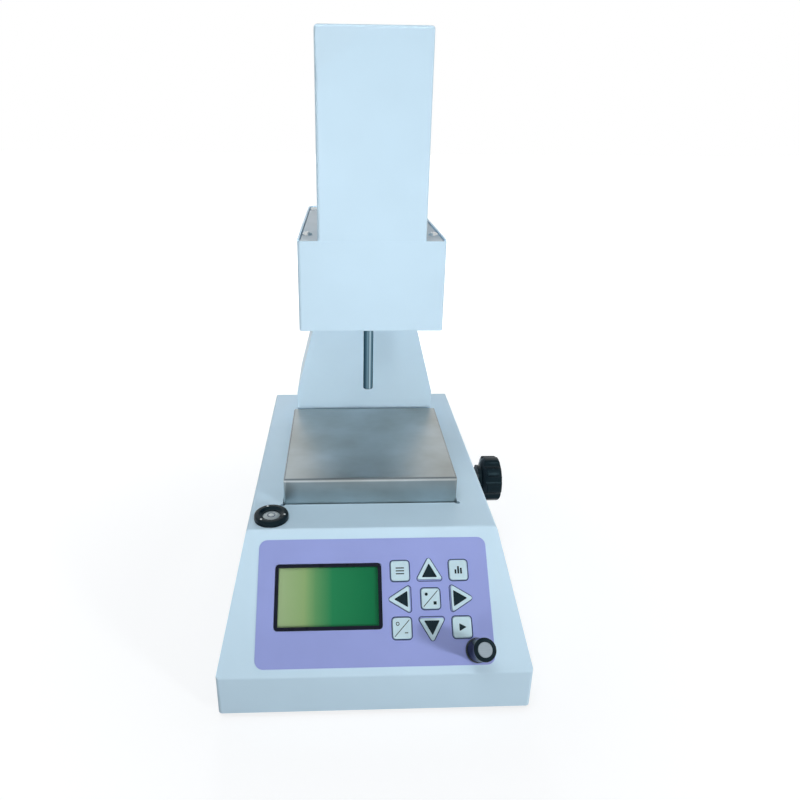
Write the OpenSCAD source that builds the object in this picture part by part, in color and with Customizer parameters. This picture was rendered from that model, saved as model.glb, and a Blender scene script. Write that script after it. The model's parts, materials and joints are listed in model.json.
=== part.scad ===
// Bench tester for the liquid and plastic limits of soil.
// A folded steel base with a sloped keypad panel carries a lifting platform; a tapered column
// holds the head, whose polished spindle falls and is measured under the tall cover.
// X runs right, Y runs back from the skirt's front, Z runs up from the bench.

/* [Base casing] */
// Width across the upright skirt
base_w = 218; // [212:1:226]
// Width of the flat top
base_top_w = 186; // [182:1:196]
// Depth from the skirt's front to the rear wall
base_d = 327; // [322:1:340]
// Height from the skirt's lower edge to the flat top
base_h = 102; // [98:1:110]
// Height of the upright skirt
skirt_h = 30.5; // [28:0.5:33]
// Run of the sloped panel from front to back
panel_run = 70.5; // [68:0.5:74]
// Thickness of the folded sheet
sheet = 1.5; // [1.2:0.1:1.8]
// Outer radius of the folds
bend_r = 3; // [2.2:0.1:4]
// Gap between the bench and the skirt
foot_gap = 4; // [3:0.5:6]
// Height of the bottom plate above the skirt's lower edge
plate_up = 4; // [3:0.5:5]
// Thickness of the bottom plate
plate_t = 2; // [1.5:0.1:2.5]
// Height of the bottom plate's upturned rim
plate_rim_h = 14; // [12:0.5:16]

/* [Front panel] */
// Width of the printed overlay
overlay_w = 166; // [162:0.5:170]
// Height of the printed overlay along the slope
overlay_h = 86.7; // [84:0.1:89]
// Lower edge of the overlay above the lower crease, along the slope
overlay_low = 5.5; // [4.5:0.1:6.5]
// Thickness of the overlay
overlay_t = 0.4; // [0.3:0.05:0.6]
// Corner radius of the overlay
overlay_r = 6; // [3:0.5:8]
// Width of the display bezel
lcd_w = 76; // [72:0.5:77]
// Height of the display bezel along the slope
lcd_h = 44.7; // [42:0.1:46]
// Centre of the display, left of the middle
lcd_x = -32.6; // [-34:0.1:-32]
// Centre of the display above the lower crease, along the slope
lcd_s = 52.2; // [50:0.1:54]
// Width of the bezel's border
lcd_border = 2.3; // [2:0.1:3]
// Thickness of the display glass
glass_t = 2.8; // [2.4:0.1:3.2]
// Width of a square key
key_w = 13; // [12:0.1:13.6]
// Height of a square key along the slope
key_h = 13.8; // [12.6:0.1:14.2]
// Sideways pitch of the keys
key_pitch_x = 21.2; // [20.8:0.1:21.6]
// Pitch of the keys along the slope
key_pitch_s = 19.4; // [19.2:0.1:19.8]
// Middle key, right of the centre line
key_x = 40.2; // [39.8:0.1:41]
// Middle key above the lower crease, along the slope
key_s = 49.4; // [49:0.1:50.4]
// Distance from the centre of an arrow key to its tip
arrow_tip = 9.6; // [9:0.1:9.8]
// Distance from the centre of an arrow key to its flat side
arrow_base = 6.2; // [5.6:0.1:6.4]
// How far a key stands above the overlay
key_proud = 0.7; // [0.6:0.05:1]
// Travel of a key
key_travel = 0.5; // [0.3:0.05:0.6]

/* [Trim knob] */
// Trim knob, right of the centre line
trim_x = 70.4; // [69.5:0.1:71.5]
// Trim knob above the lower crease, along the slope
trim_s = 14.7; // [14:0.1:15]
// Diameter of the trim knob
trim_d = 15; // [14:0.1:15.6]
// Diameter of the trim knob's foot
trim_foot_d = 16.4; // [16:0.1:17]
// Length of the trim knob
trim_len = 29; // [26:0.5:31]
// Length of the black end ring
trim_ring_len = 5; // [4:0.5:7]
// Diameter of the end disc
trim_cap_d = 9.6; // [8:0.1:11]

/* [Circular level] */
// Diameter of the level's housing
level_d = 26; // [24:0.5:26]
// Level, right of the centre line
level_x = -76; // [-77:0.5:-74]
// Level behind the upper crease
level_back = 14; // [13.5:0.5:15]
// Height of the level above the flat top
level_h = 4.5; // [4:0.1:5.5]
// Diameter of the level's glass vial
vial_d = 13; // [11:0.5:14]

/* [Platform] */
// Width of the platform tray
tray_w = 136; // [130:1:140]
// Depth of the platform tray
tray_d = 134.6; // [130:0.2:136]
// Front of the platform tray behind the skirt's front
tray_front = 104; // [104:0.5:106]
// Height of the tray's top above the flat top, at rest
tray_rise = 22; // [18:0.5:26]
// How far the tray's skirt dips into its well, at rest
tray_dip = 5; // [4:0.5:6]
// Gap between the tray and its well
tray_gap = 1; // [0.8:0.1:1.5]
// Depth of the well under the flat top
well_depth = 9; // [8:0.5:10]
// Upward travel of the platform
lift_travel = 35; // [25:1:36]

/* [Lift drive] */
// Module of the rack and pinion
gear_module = 1; // [0.9:0.05:1.05]
// Number of pinion teeth
pinion_teeth = 18; // [17:1:18]
// Width of the rack and pinion
gear_w = 8; // [6:0.5:9]
// Diameter of the lift stem
stem_d = 20; // [19:0.5:22]
// Diameter of the lift shaft
shaft_d = 8; // [7:0.5:9]
// Height of the lift shaft above the skirt's lower edge
shaft_up = 71.6; // [69:0.2:73]
// Diameter of the lift knob
knob_d = 41.5; // [38:0.5:44]
// Thickness of the lift knob's fluted rim
knob_t = 14; // [12:0.5:16]
// Gap between the casing's side and the lift knob's rim, at the rim's lowest point
knob_gap = 5.15; // [4:0.05:7]
// Number of flutes round the lift knob
knob_flutes = 8; // [6:1:10]

/* [Column] */
// Front of the column behind the skirt's front
col_front = 243.7; // [243.2:0.1:246]
// Gap from the column's back to the base's rear wall
col_back_gap = 2.5; // [2:0.5:6]
// Width of the column's upright foot
col_w = 129.6; // [124:0.2:134]
// Height of the column's upright foot
col_foot_h = 36.5; // [30:0.5:42]
// Width of the column under the head
col_top_w = 79; // [74:0.5:90]
// Width of the inner post
post_w = 50; // [44:1:54]
// Depth of the inner post
post_d = 40; // [36:1:44]
// Wall of the inner post
post_wall = 3; // [2:0.5:4]

/* [Head] */
// Height of the head's underside above the flat top
head_up = 135.2; // [134:0.2:140]
// Width of the head
head_w = 107; // [104:0.5:112]
// Front of the head behind the skirt's front
head_front = 125.9; // [124:0.1:127]
// Height of the head
head_h = 67.5; // [66:0.5:70]
// Radius of the head's rear corners
head_rear_r = 9; // [5:0.5:12]
// How far the head's side rims stand above its lid
rim_h = 1.2; // [0.8:0.1:2]
// Width of the tall cover
cover_w = 78; // [74:0.5:84]
// Depth of the tall cover
cover_d = 91.6; // [90:0.2:96]
// Height of the tall cover
cover_h = 137.2; // [130:0.2:145]

/* [Spindle] */
// Diameter of the spindle
rod_d = 8; // [7:0.5:9]
// How far the spindle hangs below the head, at rest
rod_drop = 64.8; // [58:0.2:68]
// Upward travel of the spindle
rod_travel = 30; // [20:1:31]
// Diameter of the tapped hole in the spindle's end
rod_tap_d = 4.2; // [3.2:0.1:4.5]
// Depth of the tapped hole in the spindle's end
rod_tap_depth = 10; // [8:0.5:14]
// Diameter of the holding magnet
magnet_d = 36; // [32:0.5:40]
// Height of the holding magnet
magnet_h = 32; // [26:0.5:33]

/* [Feet] */
// Diameter of a levelling foot
foot_d = 24; // [20:0.5:28]
// Foot centres in from the sides
foot_in_x = 23; // [20:0.5:30]
// Foot centres in from the front and back
foot_in_y = 26; // [22:0.5:32]
// Downward travel of a levelling foot
foot_travel = 6; // [4:0.5:8]
// Diameter of a foot's stud
stud_d = 6; // [5:0.5:8]

/* [Power inlet] */
// Width of the inlet's face plate
inlet_w = 62; // [60:0.5:66]
// Height of the inlet's face plate
inlet_h = 31; // [30:0.5:34]
// Inlet, right of the centre line
inlet_x = -58; // [-62:0.5:-54]
// Height of the inlet above the skirt's lower edge
inlet_up = 40; // [36:0.5:50]
// Travel of the fuse drawer
fuse_travel = 18; // [12:0.5:20]

/* [Fits] */
// Radial clearance of running shafts
run_gap = 0.05; // [0.03:0.01:0.08]
// Radial clearance of pieces fixed on a shaft or in a seat
seat_gap = 0.02; // [0.01:0.01:0.04]
// Clearance round moving flat-sided pieces and between covers
slip_gap = 0.3; // [0.2:0.05:0.4]
// Sideways play between rack and pinion teeth
backlash = 0.15; // [0.1:0.05:0.25]

/* [Hidden] */
$fn = 64;
// Small overlap that lets cutters pass clean through
over = 1;
// How far longer cutters start before the wall they open
cut_past = 10;
// Heights above the bench
z_skirt = foot_gap;
z_crease = z_skirt + skirt_h;
z_top = z_skirt + base_h;
z_plate = z_skirt + plate_up;
z_floor = z_plate + plate_t;
// The sloped panel
slope = atan2(base_h - skirt_h, panel_run);
// Machine screws of the casing
screw_r = 2;
screw_hole_r = 2.2;
screw_head_r = 3.8;
screw_head_h = 2.4;
screw_len = 9;
cover_screw_z = z_floor + plate_rim_h / 2;
cover_screw_y = [base_d * 0.2, base_d * 0.82];
cover_screw_x = 82;
// Keypad: name, column, row, and the way an arrow points (or -1 for a square key)
keys = [
  ["key_menu", -1, 1, -1], ["key_up", 0, 1, 90], ["key_data", 1, 1, -1],
  ["key_left", -1, 0, 180], ["key_enter", 0, 0, -1], ["key_right", 1, 0, 0],
  ["key_return", -1, -1, -1], ["key_down", 0, -1, 270], ["key_start", 1, -1, -1]
];
key_corner_r = 2;
arrow_corner_r = 1.2;
arrow_half = 9.4;
key_lip = 1.2;
key_lip_t = 0.9;
key_lip_gap = 0.1;
key_lip_low = sheet + key_lip_gap + key_lip_t;
board_t = 1.6;
switch_size = 6;
switch_h = 2.4;
switch_top = key_lip_low + key_travel + 0.1;
key_board_top = switch_top + switch_h;
key_board_margin = 6;
spacer_r = 2;
spacer_in = 3;
display_board_w = 90;
display_board_h = 62;
display_frame_t = 2.7;
display_frame_rim = 3;
bezel_proud = 0.3;
bezel_r = 2.4;
// Trim control
trim_gap = 1.1;
trim_low = overlay_t + trim_gap;
trim_top = trim_low + trim_len;
trim_shaft_r = 3;
trim_bush_r = 3.5;
trim_nut_r = 5.2;
trim_nut_h = 2.2;
trim_bush_h = 4.5;
trim_cavity_h = 6;
trim_pot_r = 8;
trim_pot_h = 9;
trim_shaft_out = 16;
trim_chamfer = 0.8;
trim_foot_h = 2;
trim_cap_t = 1.6;
// Circular level
level_y = panel_run + level_back;
level_edge_r = 1.6;
level_recess = 1.4;
level_bowl_r = vial_d / 2 + 3;
level_seat_r = vial_d / 2 + 0.8;
level_spigot_r = 6;
level_vial_h = 2.6;
level_vial_low = level_h - level_recess - level_vial_h - 0.2;
// Platform, well and lift
z_tray = z_top + tray_rise;
tray_y = tray_front + tray_d / 2;
tray_fold_r = 2.2;
well_w = tray_w + 2 * tray_gap;
well_d = tray_d + 2 * tray_gap;
well_lip = 7;
relief_r = 2;
z_well = z_top - well_depth;
carrier_t = 5;
carrier_in = 9;
carrier_boss_wall = 6;
carrier_boss_r = stem_d / 2 + carrier_boss_wall;
carrier_boss_h = 8;
z_carrier = z_tray - sheet - carrier_t;
stem_y = tray_y;
stem_flat = 7;
stem_floor_gap = 10;
z_stem = z_floor + stem_floor_gap;
rack_body_t = 3.75;
rack_root = stem_flat + rack_body_t;
rack_pitch_y = rack_root + 1.25 * gear_module;
pinion_r = gear_module * pinion_teeth / 2;
shaft_y = stem_y + rack_pitch_y + pinion_r;
shaft_z = z_skirt + shaft_up;
shaft_r = shaft_d / 2;
tooth_pitch = PI * gear_module;
tooth_t = tooth_pitch / 2 - backlash;
pressure_angle = 20;
rack_up = 3;
rack_down = ceil((lift_travel + 6) / tooth_pitch);
guide_top_gap = 3.5;
z_guide = z_well - sheet - guide_top_gap;
guide_half_w = 18;
guide_front = 15;
guide_back = 10;
guide_slot_gap = 0.75;
guide_flange_w = 12;
guide_flange_t = 6;
shaft_left = guide_half_w - over;
bracket_x = 84;
bracket_t = 3;
bracket_half_d = 14;
bracket_foot = 20;
bush_wall = 2;
bush_flange_w = 2.5;
bush_flange_t = 2;
bush_len = 8;
knob_in = wall_x(shaft_z - knob_d / 2) + knob_gap;
knob_out = knob_in + knob_t;
knob_hub_r = 12.5;
knob_wall_gap = 0.6;
knob_bore_depth = 16;
knob_rim_r = 2.6;
knob_back_r = 0.8;
knob_back_run = 3.1;
knob_dish_d = 24;
knob_dish = 1;
flute_r = 6;
flute_out = 3.2;
shaft_hole_r = shaft_r + 1.5;
// Column
z_head = z_top + head_up;
col_rear = base_d - col_back_gap;
col_lean = atan2((col_w - col_top_w) / 2, head_up - col_foot_h);
col_flange = 10;
column_screw_in = 12;
post_y = (col_front + col_rear) / 2;
post_flange = 12;
post_flange_t = 5;
post_gap = 1;
// Head and what it carries
head_rear = col_rear;
head_fold_r = 2.5;
z_rim = z_head + head_h;
z_lid = z_rim - rim_h;
lid_tab = 12;
lid_screw_in = 6;
lid_screw_front = 29;
lid_screw_rear = 22;
lid_screw_y = [head_front + lid_screw_front, head_rear - lid_screw_rear];
z_cover = z_lid + cover_h;
cover_lip = 8;
rod_y = head_front + cover_d / 2;
rod_r = rod_d / 2;
z_rod = z_head - rod_drop;
arm_t = 6;
arm_half_w = 32;
arm_front = 24;
z_arm = z_head + sheet;
arm_tail = 8;
arm_rear = post_y + post_d / 2 + arm_tail;
bush_r = rod_r + 3;
lower_bush_up = 5.5;
z_collar = z_arm + arm_t + lower_bush_up + slip_gap;
collar_r = 8;
collar_h = 8;
stand_t = 4;
stand_half_w = 20;
stand_gap = 28;
stand_y = rod_y + stand_gap;
stand_foot = 25;
z_stand = z_arm + arm_t;
magnet_top_gap = 30;
z_magnet_top = z_cover - magnet_top_gap;
z_magnet = z_magnet_top - magnet_h;
guide_tab_below = 9.3;
guide_tab_z = z_lid - guide_tab_below;
tab_half_w = 14;
tab_over = 8;
armature_r = 12;
armature_t = 6;
z_armature = z_magnet - rod_travel - slip_gap - armature_t;
scale_x = -19;
scale_t = 1.2;
scale_w = 12;
reader_z = guide_tab_z + stand_t + 2;
reader_h = 26;
reader_w = 18;
reader_front = 9;
reader_slot_gap = 0.9;
reader_slot_d = 10;
carriage_z = reader_z + reader_h + 2;
carriage_h = 8;
carriage_r = 7;
scale_low = reader_z - rod_travel - 8;
// Feet
foot_h = z_plate - 0.5;
foot_x = base_w / 2 - foot_in_x;
foot_y = [foot_in_y, base_d - foot_in_y];
nut_r = 7;
nut_h = 8;
stud_top = z_floor + nut_h + foot_travel;
// Power inlet with socket, fuse drawer and rocker in one housing
inlet_z = z_skirt + inlet_up;
inlet_face_t = 2.5;
inlet_body_d = 24;
inlet_body_in = 2.5;
socket_w = 24.4;
socket_h = 16.6;
socket_d = 16;
socket_x = -16;
socket_up = 4;
socket_corner = 4;
blade_w = 4;
blade_t = 2;
blade_len = 10;
blade_pitch = 14;
earth_up = 4;
fuse_w = 24;
fuse_h = 6;
fuse_stay = 2;
fuse_d = fuse_travel + fuse_stay;
fuse_up = -10;
fuse_pull = 1.5;
rocker_w = 12;
rocker_h = 20;
rocker_x = 15;
rocker_face = 9;
rocker_half = rocker_h / 2 - 0.6;
rocker_dip = 1;
rocker_pin_r = 1.5;
rocker_pin_in = 6;
rocker_tail = 5;
rocker_tail_half = 4;
rocker_tilt = 9;
rocker_well_d = 18;
// Boards on the bottom plate
board_post_h = 8;
board_post_in = 5;
board_gap = 4;
board_screw_gap = 2;
board_side = base_w / 2 - screw_len - board_screw_gap;
main_board_size = [board_side - guide_half_w - guide_flange_w - board_gap, 0.9 * tray_d];
main_board_at = [-board_side, tray_y - main_board_size.y / 2];
supply_at = [post_w / 2 + post_flange + board_gap, shaft_y + bracket_half_d + board_gap];
supply_size = [board_side - supply_at.x, foot_y[1] - nut_r - board_gap - supply_at.y];
// The origin lies on the bench under the middle of the whole outline
left_reach = base_w / 2 + screw_head_h;
front_reach = trim_top * sin(slope) - (trim_s - trim_d / 2 + trim_chamfer) * cos(slope);
rocker_reach = rocker_face * cos(rocker_tilt) + rocker_half * sin(rocker_tilt);
rear_reach = base_d + inlet_face_t - rocker_pin_in + rocker_reach;
centre_x = (knob_out - left_reach) / 2;
centre_y = (rear_reach - front_reach) / 2;

function unit(v) = v / norm(v);

function flat(p) = [p.x, p.y];

// Corners [x, y, r] of a convex outline moved inwards by t, their radii following
function inset(c, t) = [
  for (i = [0 : len(c) - 1])
    let (
      q = flat(c[i]),
      a = unit(flat(c[(i + len(c) - 1) % len(c)]) - q),
      b = unit(flat(c[(i + 1) % len(c)]) - q),
      p = q + unit(a + b) * t / sin(acos(a * b) / 2)
    )
    [p.x, p.y, c[i].z == 0 ? 0 : max(c[i].z - t, 0.2)]
];

// Points along the rounded corner at q, between its neighbours p and n
function corner_arc(p, q, n, steps) =
  q.z == 0 ? [flat(q)] :
  let (
    a = unit(flat(p) - flat(q)),
    b = unit(flat(n) - flat(q)),
    half = acos(a * b) / 2,
    centre = flat(q) + unit(a + b) * q.z / sin(half),
    first = flat(q) + a * q.z / tan(half) - centre,
    start = atan2(first.y, first.x),
    turn = (180 - 2 * half) * sign(a.y * b.x - a.x * b.y)
  )
  [
    for (k = [0 : steps])
      let (angle = start + turn * k / steps)
      centre + q.z * [cos(angle), sin(angle)]
  ];

function rounded(c, steps = 6) = [
  for (i = [0 : len(c) - 1])
    each corner_arc(c[(i + len(c) - 1) % len(c)], c[i], c[(i + 1) % len(c)], steps)
];

// Corners of a rectangle centred on the origin
function rect(w, h, r = 0) = [
  [-w / 2, -h / 2, r], [w / 2, -h / 2, r],
  [w / 2, h / 2, r], [-w / 2, h / 2, r]
];

// Outlines of the base from the side, the front and above
function base_side(bottom) = [
  [0, bottom, 0], [base_d, bottom, 0], [base_d, z_top, bend_r],
  [panel_run, z_top, bend_r], [0, z_crease, bend_r]
];

function base_front(bottom) = [
  [-base_w / 2, bottom, 0], [base_w / 2, bottom, 0], [base_w / 2, z_crease, bend_r],
  [base_top_w / 2, z_top, bend_r], [-base_top_w / 2, z_top, bend_r], [-base_w / 2, z_crease, bend_r]
];

function base_plan() = [for (c = rect(base_w, base_d, bend_r)) [c.x, c.y + base_d / 2, c.z]];

// Half the base's outer width at a height
function wall_x(z) = base_w / 2 - (base_w - base_top_w) / 2 * (z - z_crease) / (base_h - skirt_h);

// Upright outline whose two upper corners are folds of radius r
function folded(w, bottom, top, r) = [
  [-w / 2, bottom, 0], [w / 2, bottom, 0], [w / 2, top, r], [-w / 2, top, r]
];

// Outline of a key round its centre: square, or an arrow pointing along an angle
function key_outline(way) =
  way < 0 ? rect(key_w, key_h, key_corner_r) :
  [for (c = [[arrow_tip, 0], [-arrow_base, arrow_half], [-arrow_base, -arrow_half]])
    [c.x * cos(way) - c.y * sin(way), c.x * sin(way) + c.y * cos(way), arrow_corner_r]];

function key_centre(k) = [key_x + k[1] * key_pitch_x, key_s + k[2] * key_pitch_s];

// Outline of the head from above, with small front folds and wide rear corners
function head_plan() = [
  [-head_w / 2, head_front, head_fold_r], [head_w / 2, head_front, head_fold_r],
  [head_w / 2, head_rear, head_rear_r], [-head_w / 2, head_rear, head_rear_r]
];

// Involute of the pinion's flank, in degrees
function involute(angle) = tan(angle) * 180 / PI - angle;

module place() {
  translate([-centre_x, -centre_y, 0]) children();
}

// Extrudes a Y-Z outline along X, centred
module along_x(w) {
  rotate([90, 0, 90]) translate([0, 0, -w / 2]) linear_extrude(w) children();
}

// Extrudes an X-Z outline from y0 to y1
module along_y(y0, y1) {
  translate([0, y1, 0]) rotate([90, 0, 0]) linear_extrude(y1 - y0) children();
}

// Extrudes a plan outline from z0 to z1
module along_z(z0, z1) {
  translate([0, 0, z0]) linear_extrude(z1 - z0) children();
}

// Local x across the panel, y up the slope, z out of it
module on_panel() {
  translate([0, 0, z_crease]) rotate([slope, 0, 0]) children();
}

// A cylinder along X
module bar_x(r, x0, x1) {
  translate([x0, 0, 0]) rotate([0, 90, 0]) cylinder(r = r, h = x1 - x0);
}

module ring(r_out, r_in, h) {
  difference() {
    cylinder(r = r_out, h = h);
    translate([0, 0, -over]) cylinder(r = r_in, h = h + 2 * over);
  }
}

// A pan-head machine screw whose head seats on z = 0 and points up
module pan_screw() {
  translate([0, 0, -screw_len]) cylinder(r = screw_r, h = screw_len + 0.5, $fn = 24);
  rotate_extrude($fn = 32) polygon(rounded([
    [0, 0, 0], [screw_head_r, 0, 0], [screw_head_r, screw_head_h, 1.4], [0, screw_head_h, 0]
  ], 4));
}

// Where the casing's screws sit: each child faces out along its own Z
module at_case_screws() {
  for (side = [-1, 1], y = cover_screw_y)
    translate([side * base_w / 2, y, cover_screw_z]) rotate([0, side * 90, 0]) children();
  for (side = [-1, 1])
    translate([side * cover_screw_x, base_d, cover_screw_z]) rotate([-90, 0, 0]) children();
  for (side = [-1, 1], y = lid_screw_y)
    translate([side * (head_w / 2 - lid_screw_in), y, z_lid]) children();
  for (side = [-1, 1], up = [0, 1])
    translate([side * column_screw_x(up), col_rear, column_screw_z(up)])
      rotate([-90, 0, 0]) children();
}

function column_screw_z(up) = up == 0 ? z_top + column_screw_in : z_head - column_screw_in;

function column_half_w(z) = col_w / 2 - max(z - z_top - col_foot_h, 0) * tan(col_lean);

function column_screw_x(up) = column_half_w(column_screw_z(up)) - sheet - col_flange / 2;

module screw_holes() {
  at_case_screws() translate([0, 0, -screw_len - over])
    cylinder(r = screw_hole_r, h = screw_len + 2 * over, $fn = 32);
}

// The base's outer form (t = 0) or the space t inside it
module base_form(t, bottom) {
  intersection() {
    along_x(base_w) polygon(rounded(inset(base_side(bottom), t)));
    along_y(0, base_d) polygon(rounded(inset(base_front(bottom), t)));
    along_z(bottom, z_top) polygon(rounded(inset(base_plan(), t)));
  }
}

module tray_cutout(z0, z1, grow) {
  translate([0, tray_y, 0]) along_z(z0, z1)
    polygon(rounded(rect(well_w + 2 * grow, well_d + 2 * grow, tray_fold_r + grow)));
}

// Round reliefs at the corners of the platform's opening
module corner_reliefs(z0, z1) {
  for (x = [-1, 1], y = [-1, 1])
    translate([x * well_w / 2, tray_y + y * well_d / 2, z0])
      cylinder(r = relief_r, h = z1 - z0, $fn = 32);
}

module post_cutout(z0, z1) {
  translate([0, post_y, 0]) along_z(z0, z1)
    square([post_w + 2 * post_gap, post_d + 2 * post_gap], center = true);
}

module inlet_cutout() {
  grow = 2 * slip_gap - 2 * inlet_body_in;
  translate([inlet_x, 0, inlet_z]) along_y(base_d - sheet - over, base_d + over)
    square([inlet_w + grow, inlet_h + grow], center = true);
}

// Panel holes: display, keys and the trim control's bush
module panel_holes() {
  translate([lcd_x, lcd_s])
    polygon(rounded(rect(lcd_w + 2 * slip_gap, lcd_h + 2 * slip_gap, bezel_r + slip_gap), 4));
  for (k = keys)
    translate(key_centre(k)) polygon(rounded(inset(key_outline(k[3]), -slip_gap), 4));
  translate([trim_x, trim_s]) circle(r = trim_bush_r + seat_gap);
}

module base_cover() {
  color("whitesmoke") difference() {
    base_form(0, z_skirt);
    base_form(sheet, z_skirt - cut_past);
    on_panel() translate([0, 0, -sheet - over]) linear_extrude(sheet + 2 * over) panel_holes();
    tray_cutout(z_top - sheet - over, z_top + over, 0);
    corner_reliefs(z_top - sheet - over, z_top + over);
    post_cutout(z_top - sheet - over, z_top + over);
    translate([level_x, level_y, z_top - sheet - over])
      cylinder(r = level_spigot_r + seat_gap, h = sheet + 2 * over);
    translate([0, shaft_y, shaft_z]) bar_x(shaft_hole_r, base_top_w / 2 - cut_past, base_w / 2);
    inlet_cutout();
    screw_holes();
  }
}

module base_plate() {
  color("silver") difference() {
    along_z(z_plate, z_floor + plate_rim_h)
      polygon(rounded(inset(base_plan(), sheet + seat_gap)));
    along_z(z_floor, z_floor + plate_rim_h + over)
      polygon(rounded(inset(base_plan(), sheet + seat_gap + plate_t)));
    for (x = [-foot_x, foot_x], y = foot_y)
      translate([x, y, z_plate - over]) cylinder(r = stud_d / 2 + run_gap, h = plate_t + 2 * over);
    screw_holes();
  }
  color("silver") for (x = [-foot_x, foot_x], y = foot_y)
    translate([x, y, z_floor]) ring(nut_r, stud_d / 2 + run_gap, nut_h);
}

module case_screws() {
  color("gainsboro") at_case_screws() pan_screw();
}

// The printed overlay lies on the panel, cut out round the display and the keys
module panel_overlay() {
  color("mediumpurple") on_panel() linear_extrude(overlay_t) difference() {
    translate([0, overlay_low + overlay_h / 2])
      polygon(rounded(rect(overlay_w, overlay_h, overlay_r)));
    panel_holes();
  }
}

module display_bezel() {
  color("midnightblue") on_panel() translate([lcd_x, lcd_s, -sheet])
    linear_extrude(sheet + overlay_t + bezel_proud) difference() {
      polygon(rounded(rect(lcd_w, lcd_h, bezel_r), 4));
      square([lcd_w - 2 * lcd_border, lcd_h - 2 * lcd_border], center = true);
    }
}

module display_glass() {
  color("yellowgreen") on_panel() translate([lcd_x, lcd_s, -sheet - glass_t])
    linear_extrude(glass_t) square([lcd_w - 1, lcd_h - 1], center = true);
}

// Circuit board and metal frame behind the glass, on four spacers
module display_board() {
  low = sheet + glass_t + display_frame_t;
  color("darkgreen") on_panel() translate([lcd_x, lcd_s, 0]) {
    translate([0, 0, -low]) linear_extrude(display_frame_t)
      square([lcd_w + display_frame_rim, lcd_h + display_frame_rim], center = true);
    translate([0, 0, -low - board_t]) linear_extrude(board_t)
      square([display_board_w, display_board_h], center = true);
    for (x = [-1, 1], y = [-1, 1])
      translate([x * (display_board_w / 2 - spacer_in), y * (display_board_h / 2 - spacer_in), -low])
        cylinder(r = spacer_r, h = low - sheet);
  }
}

// Keypad board with one small switch under each key, on four spacers between the keys
module key_board() {
  w = 2 * key_pitch_x + 2 * key_board_margin + 2;
  h = 2 * key_pitch_s + 2 * key_board_margin;
  color("darkgreen") on_panel() {
    translate([key_x, key_s, -key_board_top - board_t]) linear_extrude(board_t)
      square([w, h], center = true);
    for (k = keys)
      translate([each key_centre(k), -key_board_top]) linear_extrude(switch_h)
        square([switch_size, switch_size], center = true);
    for (x = [-1, 1], y = [-1, 1])
      translate([key_x + x * key_pitch_x / 2, key_s + y * (h / 2 - spacer_in), -key_board_top])
        cylinder(r = spacer_r, h = key_board_top - sheet);
  }
}

// A key cap that stands through the panel, kept in by a lip behind the sheet
module key_cap(name) {
  k = [for (i = keys) if (i[0] == name) i][0];
  color("azure") on_panel() translate([each key_centre(k), -key_lip_low]) {
    linear_extrude(key_lip_low + overlay_t + key_proud)
      polygon(rounded(key_outline(k[3]), 4));
    linear_extrude(key_lip_t)
      polygon(rounded(inset(key_outline(k[3]), -key_lip), 4));
  }
}

module on_trim() {
  on_panel() translate([trim_x, trim_s, 0]) children();
}

module trim_pot() {
  color("slategray") on_trim() difference() {
    union() {
      translate([0, 0, -sheet - trim_pot_h]) cylinder(r = trim_pot_r, h = trim_pot_h);
      translate([0, 0, -sheet]) cylinder(r = trim_bush_r, h = sheet + overlay_t + trim_bush_h);
      translate([0, 0, overlay_t]) cylinder(r = trim_nut_r, h = trim_nut_h, $fn = 6);
    }
    translate([0, 0, -sheet - trim_pot_h + 2])
      cylinder(r = trim_shaft_r + run_gap, h = trim_pot_h + trim_low + trim_bush_h);
  }
}

module trim_shaft() {
  color("silver") on_trim() translate([0, 0, -sheet - trim_pot_h + 2 + slip_gap])
    cylinder(r = trim_shaft_r, h = sheet + trim_pot_h - 2 - slip_gap + trim_shaft_out);
}

// Bright barrel on a wider foot, hollow below so that it clears the nut
module trim_knob() {
  color("gainsboro") on_trim() difference() {
    translate([0, 0, trim_low]) {
      cylinder(d = trim_d, h = trim_len - trim_ring_len);
      cylinder(d = trim_foot_d, h = trim_foot_h);
    }
    translate([0, 0, trim_low - over])
      cylinder(r = trim_nut_r + 0.8, h = trim_cavity_h + over);
    translate([0, 0, trim_low])
      cylinder(r = trim_shaft_r + seat_gap, h = trim_shaft_out - trim_low + 0.2);
  }
}

module trim_knob_ring() {
  r = trim_d / 2;
  low = trim_top - trim_ring_len;
  color("black") on_trim() difference() {
    rotate_extrude() polygon([
      [0, low], [r, low], [r, trim_top - trim_chamfer], [r - trim_chamfer, trim_top], [0, trim_top]
    ]);
    translate([0, 0, trim_top - trim_cap_t])
      cylinder(d = trim_cap_d + 2 * seat_gap, h = trim_cap_t + over);
  }
}

module trim_knob_cap() {
  color("lightsteelblue") on_trim() translate([0, 0, trim_top - trim_cap_t])
    cylinder(d = trim_cap_d, h = trim_cap_t - 0.2);
}

// Black housing of the circular level: a thick ring dished down to the vial, and a spigot
module level_body() {
  r = level_d / 2;
  seat_z = level_h - level_recess;
  color("black") translate([level_x, level_y, z_top]) difference() {
    union() {
      rotate_extrude() polygon(rounded([
        [0, 0, 0], [r, 0, 0], [r, level_h, level_edge_r], [level_bowl_r, level_h, 0.4],
        [level_seat_r, seat_z, 0], [0, seat_z, 0]
      ]));
      translate([0, 0, -sheet - 2]) cylinder(r = level_spigot_r, h = sheet + 2 + over);
    }
    translate([0, 0, level_vial_low]) cylinder(d = vial_d + 2 * seat_gap, h = level_h);
  }
}

module level_vial() {
  r = vial_d / 2;
  h = level_vial_h;
  color("honeydew") translate([level_x, level_y, z_top + level_vial_low]) rotate_extrude()
    polygon([[0, 0], [r, 0], [r, h - 0.8], [r * 0.7, h - 0.2], [r * 0.35, h], [0, h]]);
}

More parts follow.
